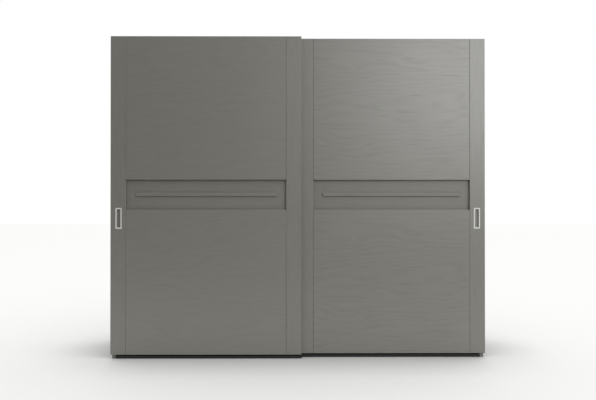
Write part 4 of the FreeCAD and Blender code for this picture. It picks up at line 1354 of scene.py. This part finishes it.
CARCASS_BOARDS = {
    "z": ("left_side_panel", "right_side_panel", "centre_partition"),
    "x": ("top_panel", "base_panel", "left_top_shelf", "right_top_shelf"),
}
for grain, names in CARCASS_BOARDS.items():
    for name in names:
        wood = lacquered_wood(f"{name}_lacquer", CARCASS_LACQUER, grain, mid(name), len(name), 0.45, 0.6)
        dress(NODES[name], wood)
wood = lacquered_wood("front_feet_lacquer", FOOT_LACQUER, "y", mid("front_feet"), 2.0, 0.5)
dress(NODES["front_feet"], wood)
for name, slot in SLOT_OF.items():
    if slot in FINISH_OF:
        dress(NODES[name], FINISH_OF[slot])

for number, door in enumerate(DOORS):
    make_door_boards(door, number)
    make_batten(door, number)
    make_finger_pull(door)
    make_axles(door)
    make_hangers(door)
    make_guides(door)
    make_brush_seal(door)
    make_screws(f"{door}_door_screws")
    for side in ("left", "right"):
        for end in ("a", "b"):
            make_wheel(f"{door}_{side}_wheel_{end}")
make_screws("track_screws")
make_screws("carcass_screws")
make_cam_fittings()
make_shelf_pins()
make_top_track()
make_bottom_track()
make_stop_buffers()
make_levelling_feet()
make_rail_sockets()
make_wall_brackets()


# ---------------------------------------------------------------- studio

FRONT = cad_box[0][1]
FLOOR_BEHIND = 30.0
FLOOR_AHEAD = 2.6


def make_floor():
    """A white sweep under and behind the wardrobe; it ends a few steps in front of the doors."""
    mesh = bpy.data.meshes.new("studio_floor")
    front = FRONT - FLOOR_AHEAD
    half = FLOOR_BEHIND
    corners = [(-half, front, 0), (half, front, 0), (half, FLOOR_BEHIND, 0), (-half, FLOOR_BEHIND, 0)]
    mesh.from_pydata(corners, [], [(0, 1, 2, 3)])
    floor = bpy.data.objects.new("studio_floor", mesh)
    bpy.context.scene.collection.objects.link(floor)
    dress(floor, studio_floor())
    floor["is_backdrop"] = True


def make_camera():
    """Eye height, square to the doors but for a hair of turn, from about 4.7 m in front of them."""
    data = bpy.data.cameras.new("camera")
    data.sensor_width = 36.0
    data.lens = 38.3
    camera = bpy.data.objects.new("camera", data)
    camera.location = (-0.0253, FRONT - 4.7184, 1.1557)
    camera.rotation_euler = (math.radians(90.292), 0.0, math.radians(-0.237))
    bpy.context.scene.collection.objects.link(camera)
    bpy.context.scene.camera = camera


def softbox(name, place, target, width, height, power):
    data = bpy.data.lights.new(name, "AREA")
    data.shape = "RECTANGLE"
    data.size = width
    data.size_y = height
    data.energy = power
    lamp = bpy.data.objects.new(name, data)
    lamp.location = place
    lamp.rotation_euler = (Vector(target) - Vector(place)).to_track_quat("-Z", "Y").to_euler()
    bpy.context.scene.collection.objects.link(lamp)
    lit = bpy.data.collections.new(f"{name}_lights")
    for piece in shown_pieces():
        lit.objects.link(piece)
    lamp.light_linking.receiver_collection = lit


HORIZON_LIGHT = 0.03
OVERHEAD_LIGHT = 1.52
RIGHT_BIAS = 0.3


def make_world():
    """White to look at; as a light it is dim near the horizon and bright overhead and to the right."""
    world = bpy.data.worlds.new("studio_white")
    world.use_nodes = True
    s = Sheet(world.node_tree)
    background = world.node_tree.nodes["Background"]
    output = world.node_tree.nodes["World Output"]
    axes = s.add("ShaderNodeSeparateXYZ", {0: s.add("ShaderNodeTexCoord").outputs["Generated"]}).outputs
    height = s.ramp(axes[2], 0.0, 0.9, HORIZON_LIGHT, OVERHEAD_LIGHT)
    side = s.plus(1.0, s.times(axes[0], RIGHT_BIAS))
    s.feed(background.inputs["Strength"], s.times(height, side))
    seen = s.add("ShaderNodeBackground", {"Color": (1.0, 1.0, 1.0, 1.0), "Strength": 1.0}).outputs[0]
    background.inputs["Color"].default_value = (1.0, 1.0, 1.0, 1.0)
    looking = s.add("ShaderNodeLightPath").outputs["Is Camera Ray"]
    mix = s.add("ShaderNodeMixShader", {0: looking, 1: background.outputs[0], 2: seen}).outputs[0]
    s.feed(output.inputs["Surface"], mix)
    bpy.context.scene.world = world


make_floor()
make_camera()
make_world()
softbox("key", place=(3.1, -5.5, 3.3), target=(0.6, -0.3, 1.4), width=4.0, height=3.2, power=182)
bpy.context.scene.view_settings.view_transform = "Standard"
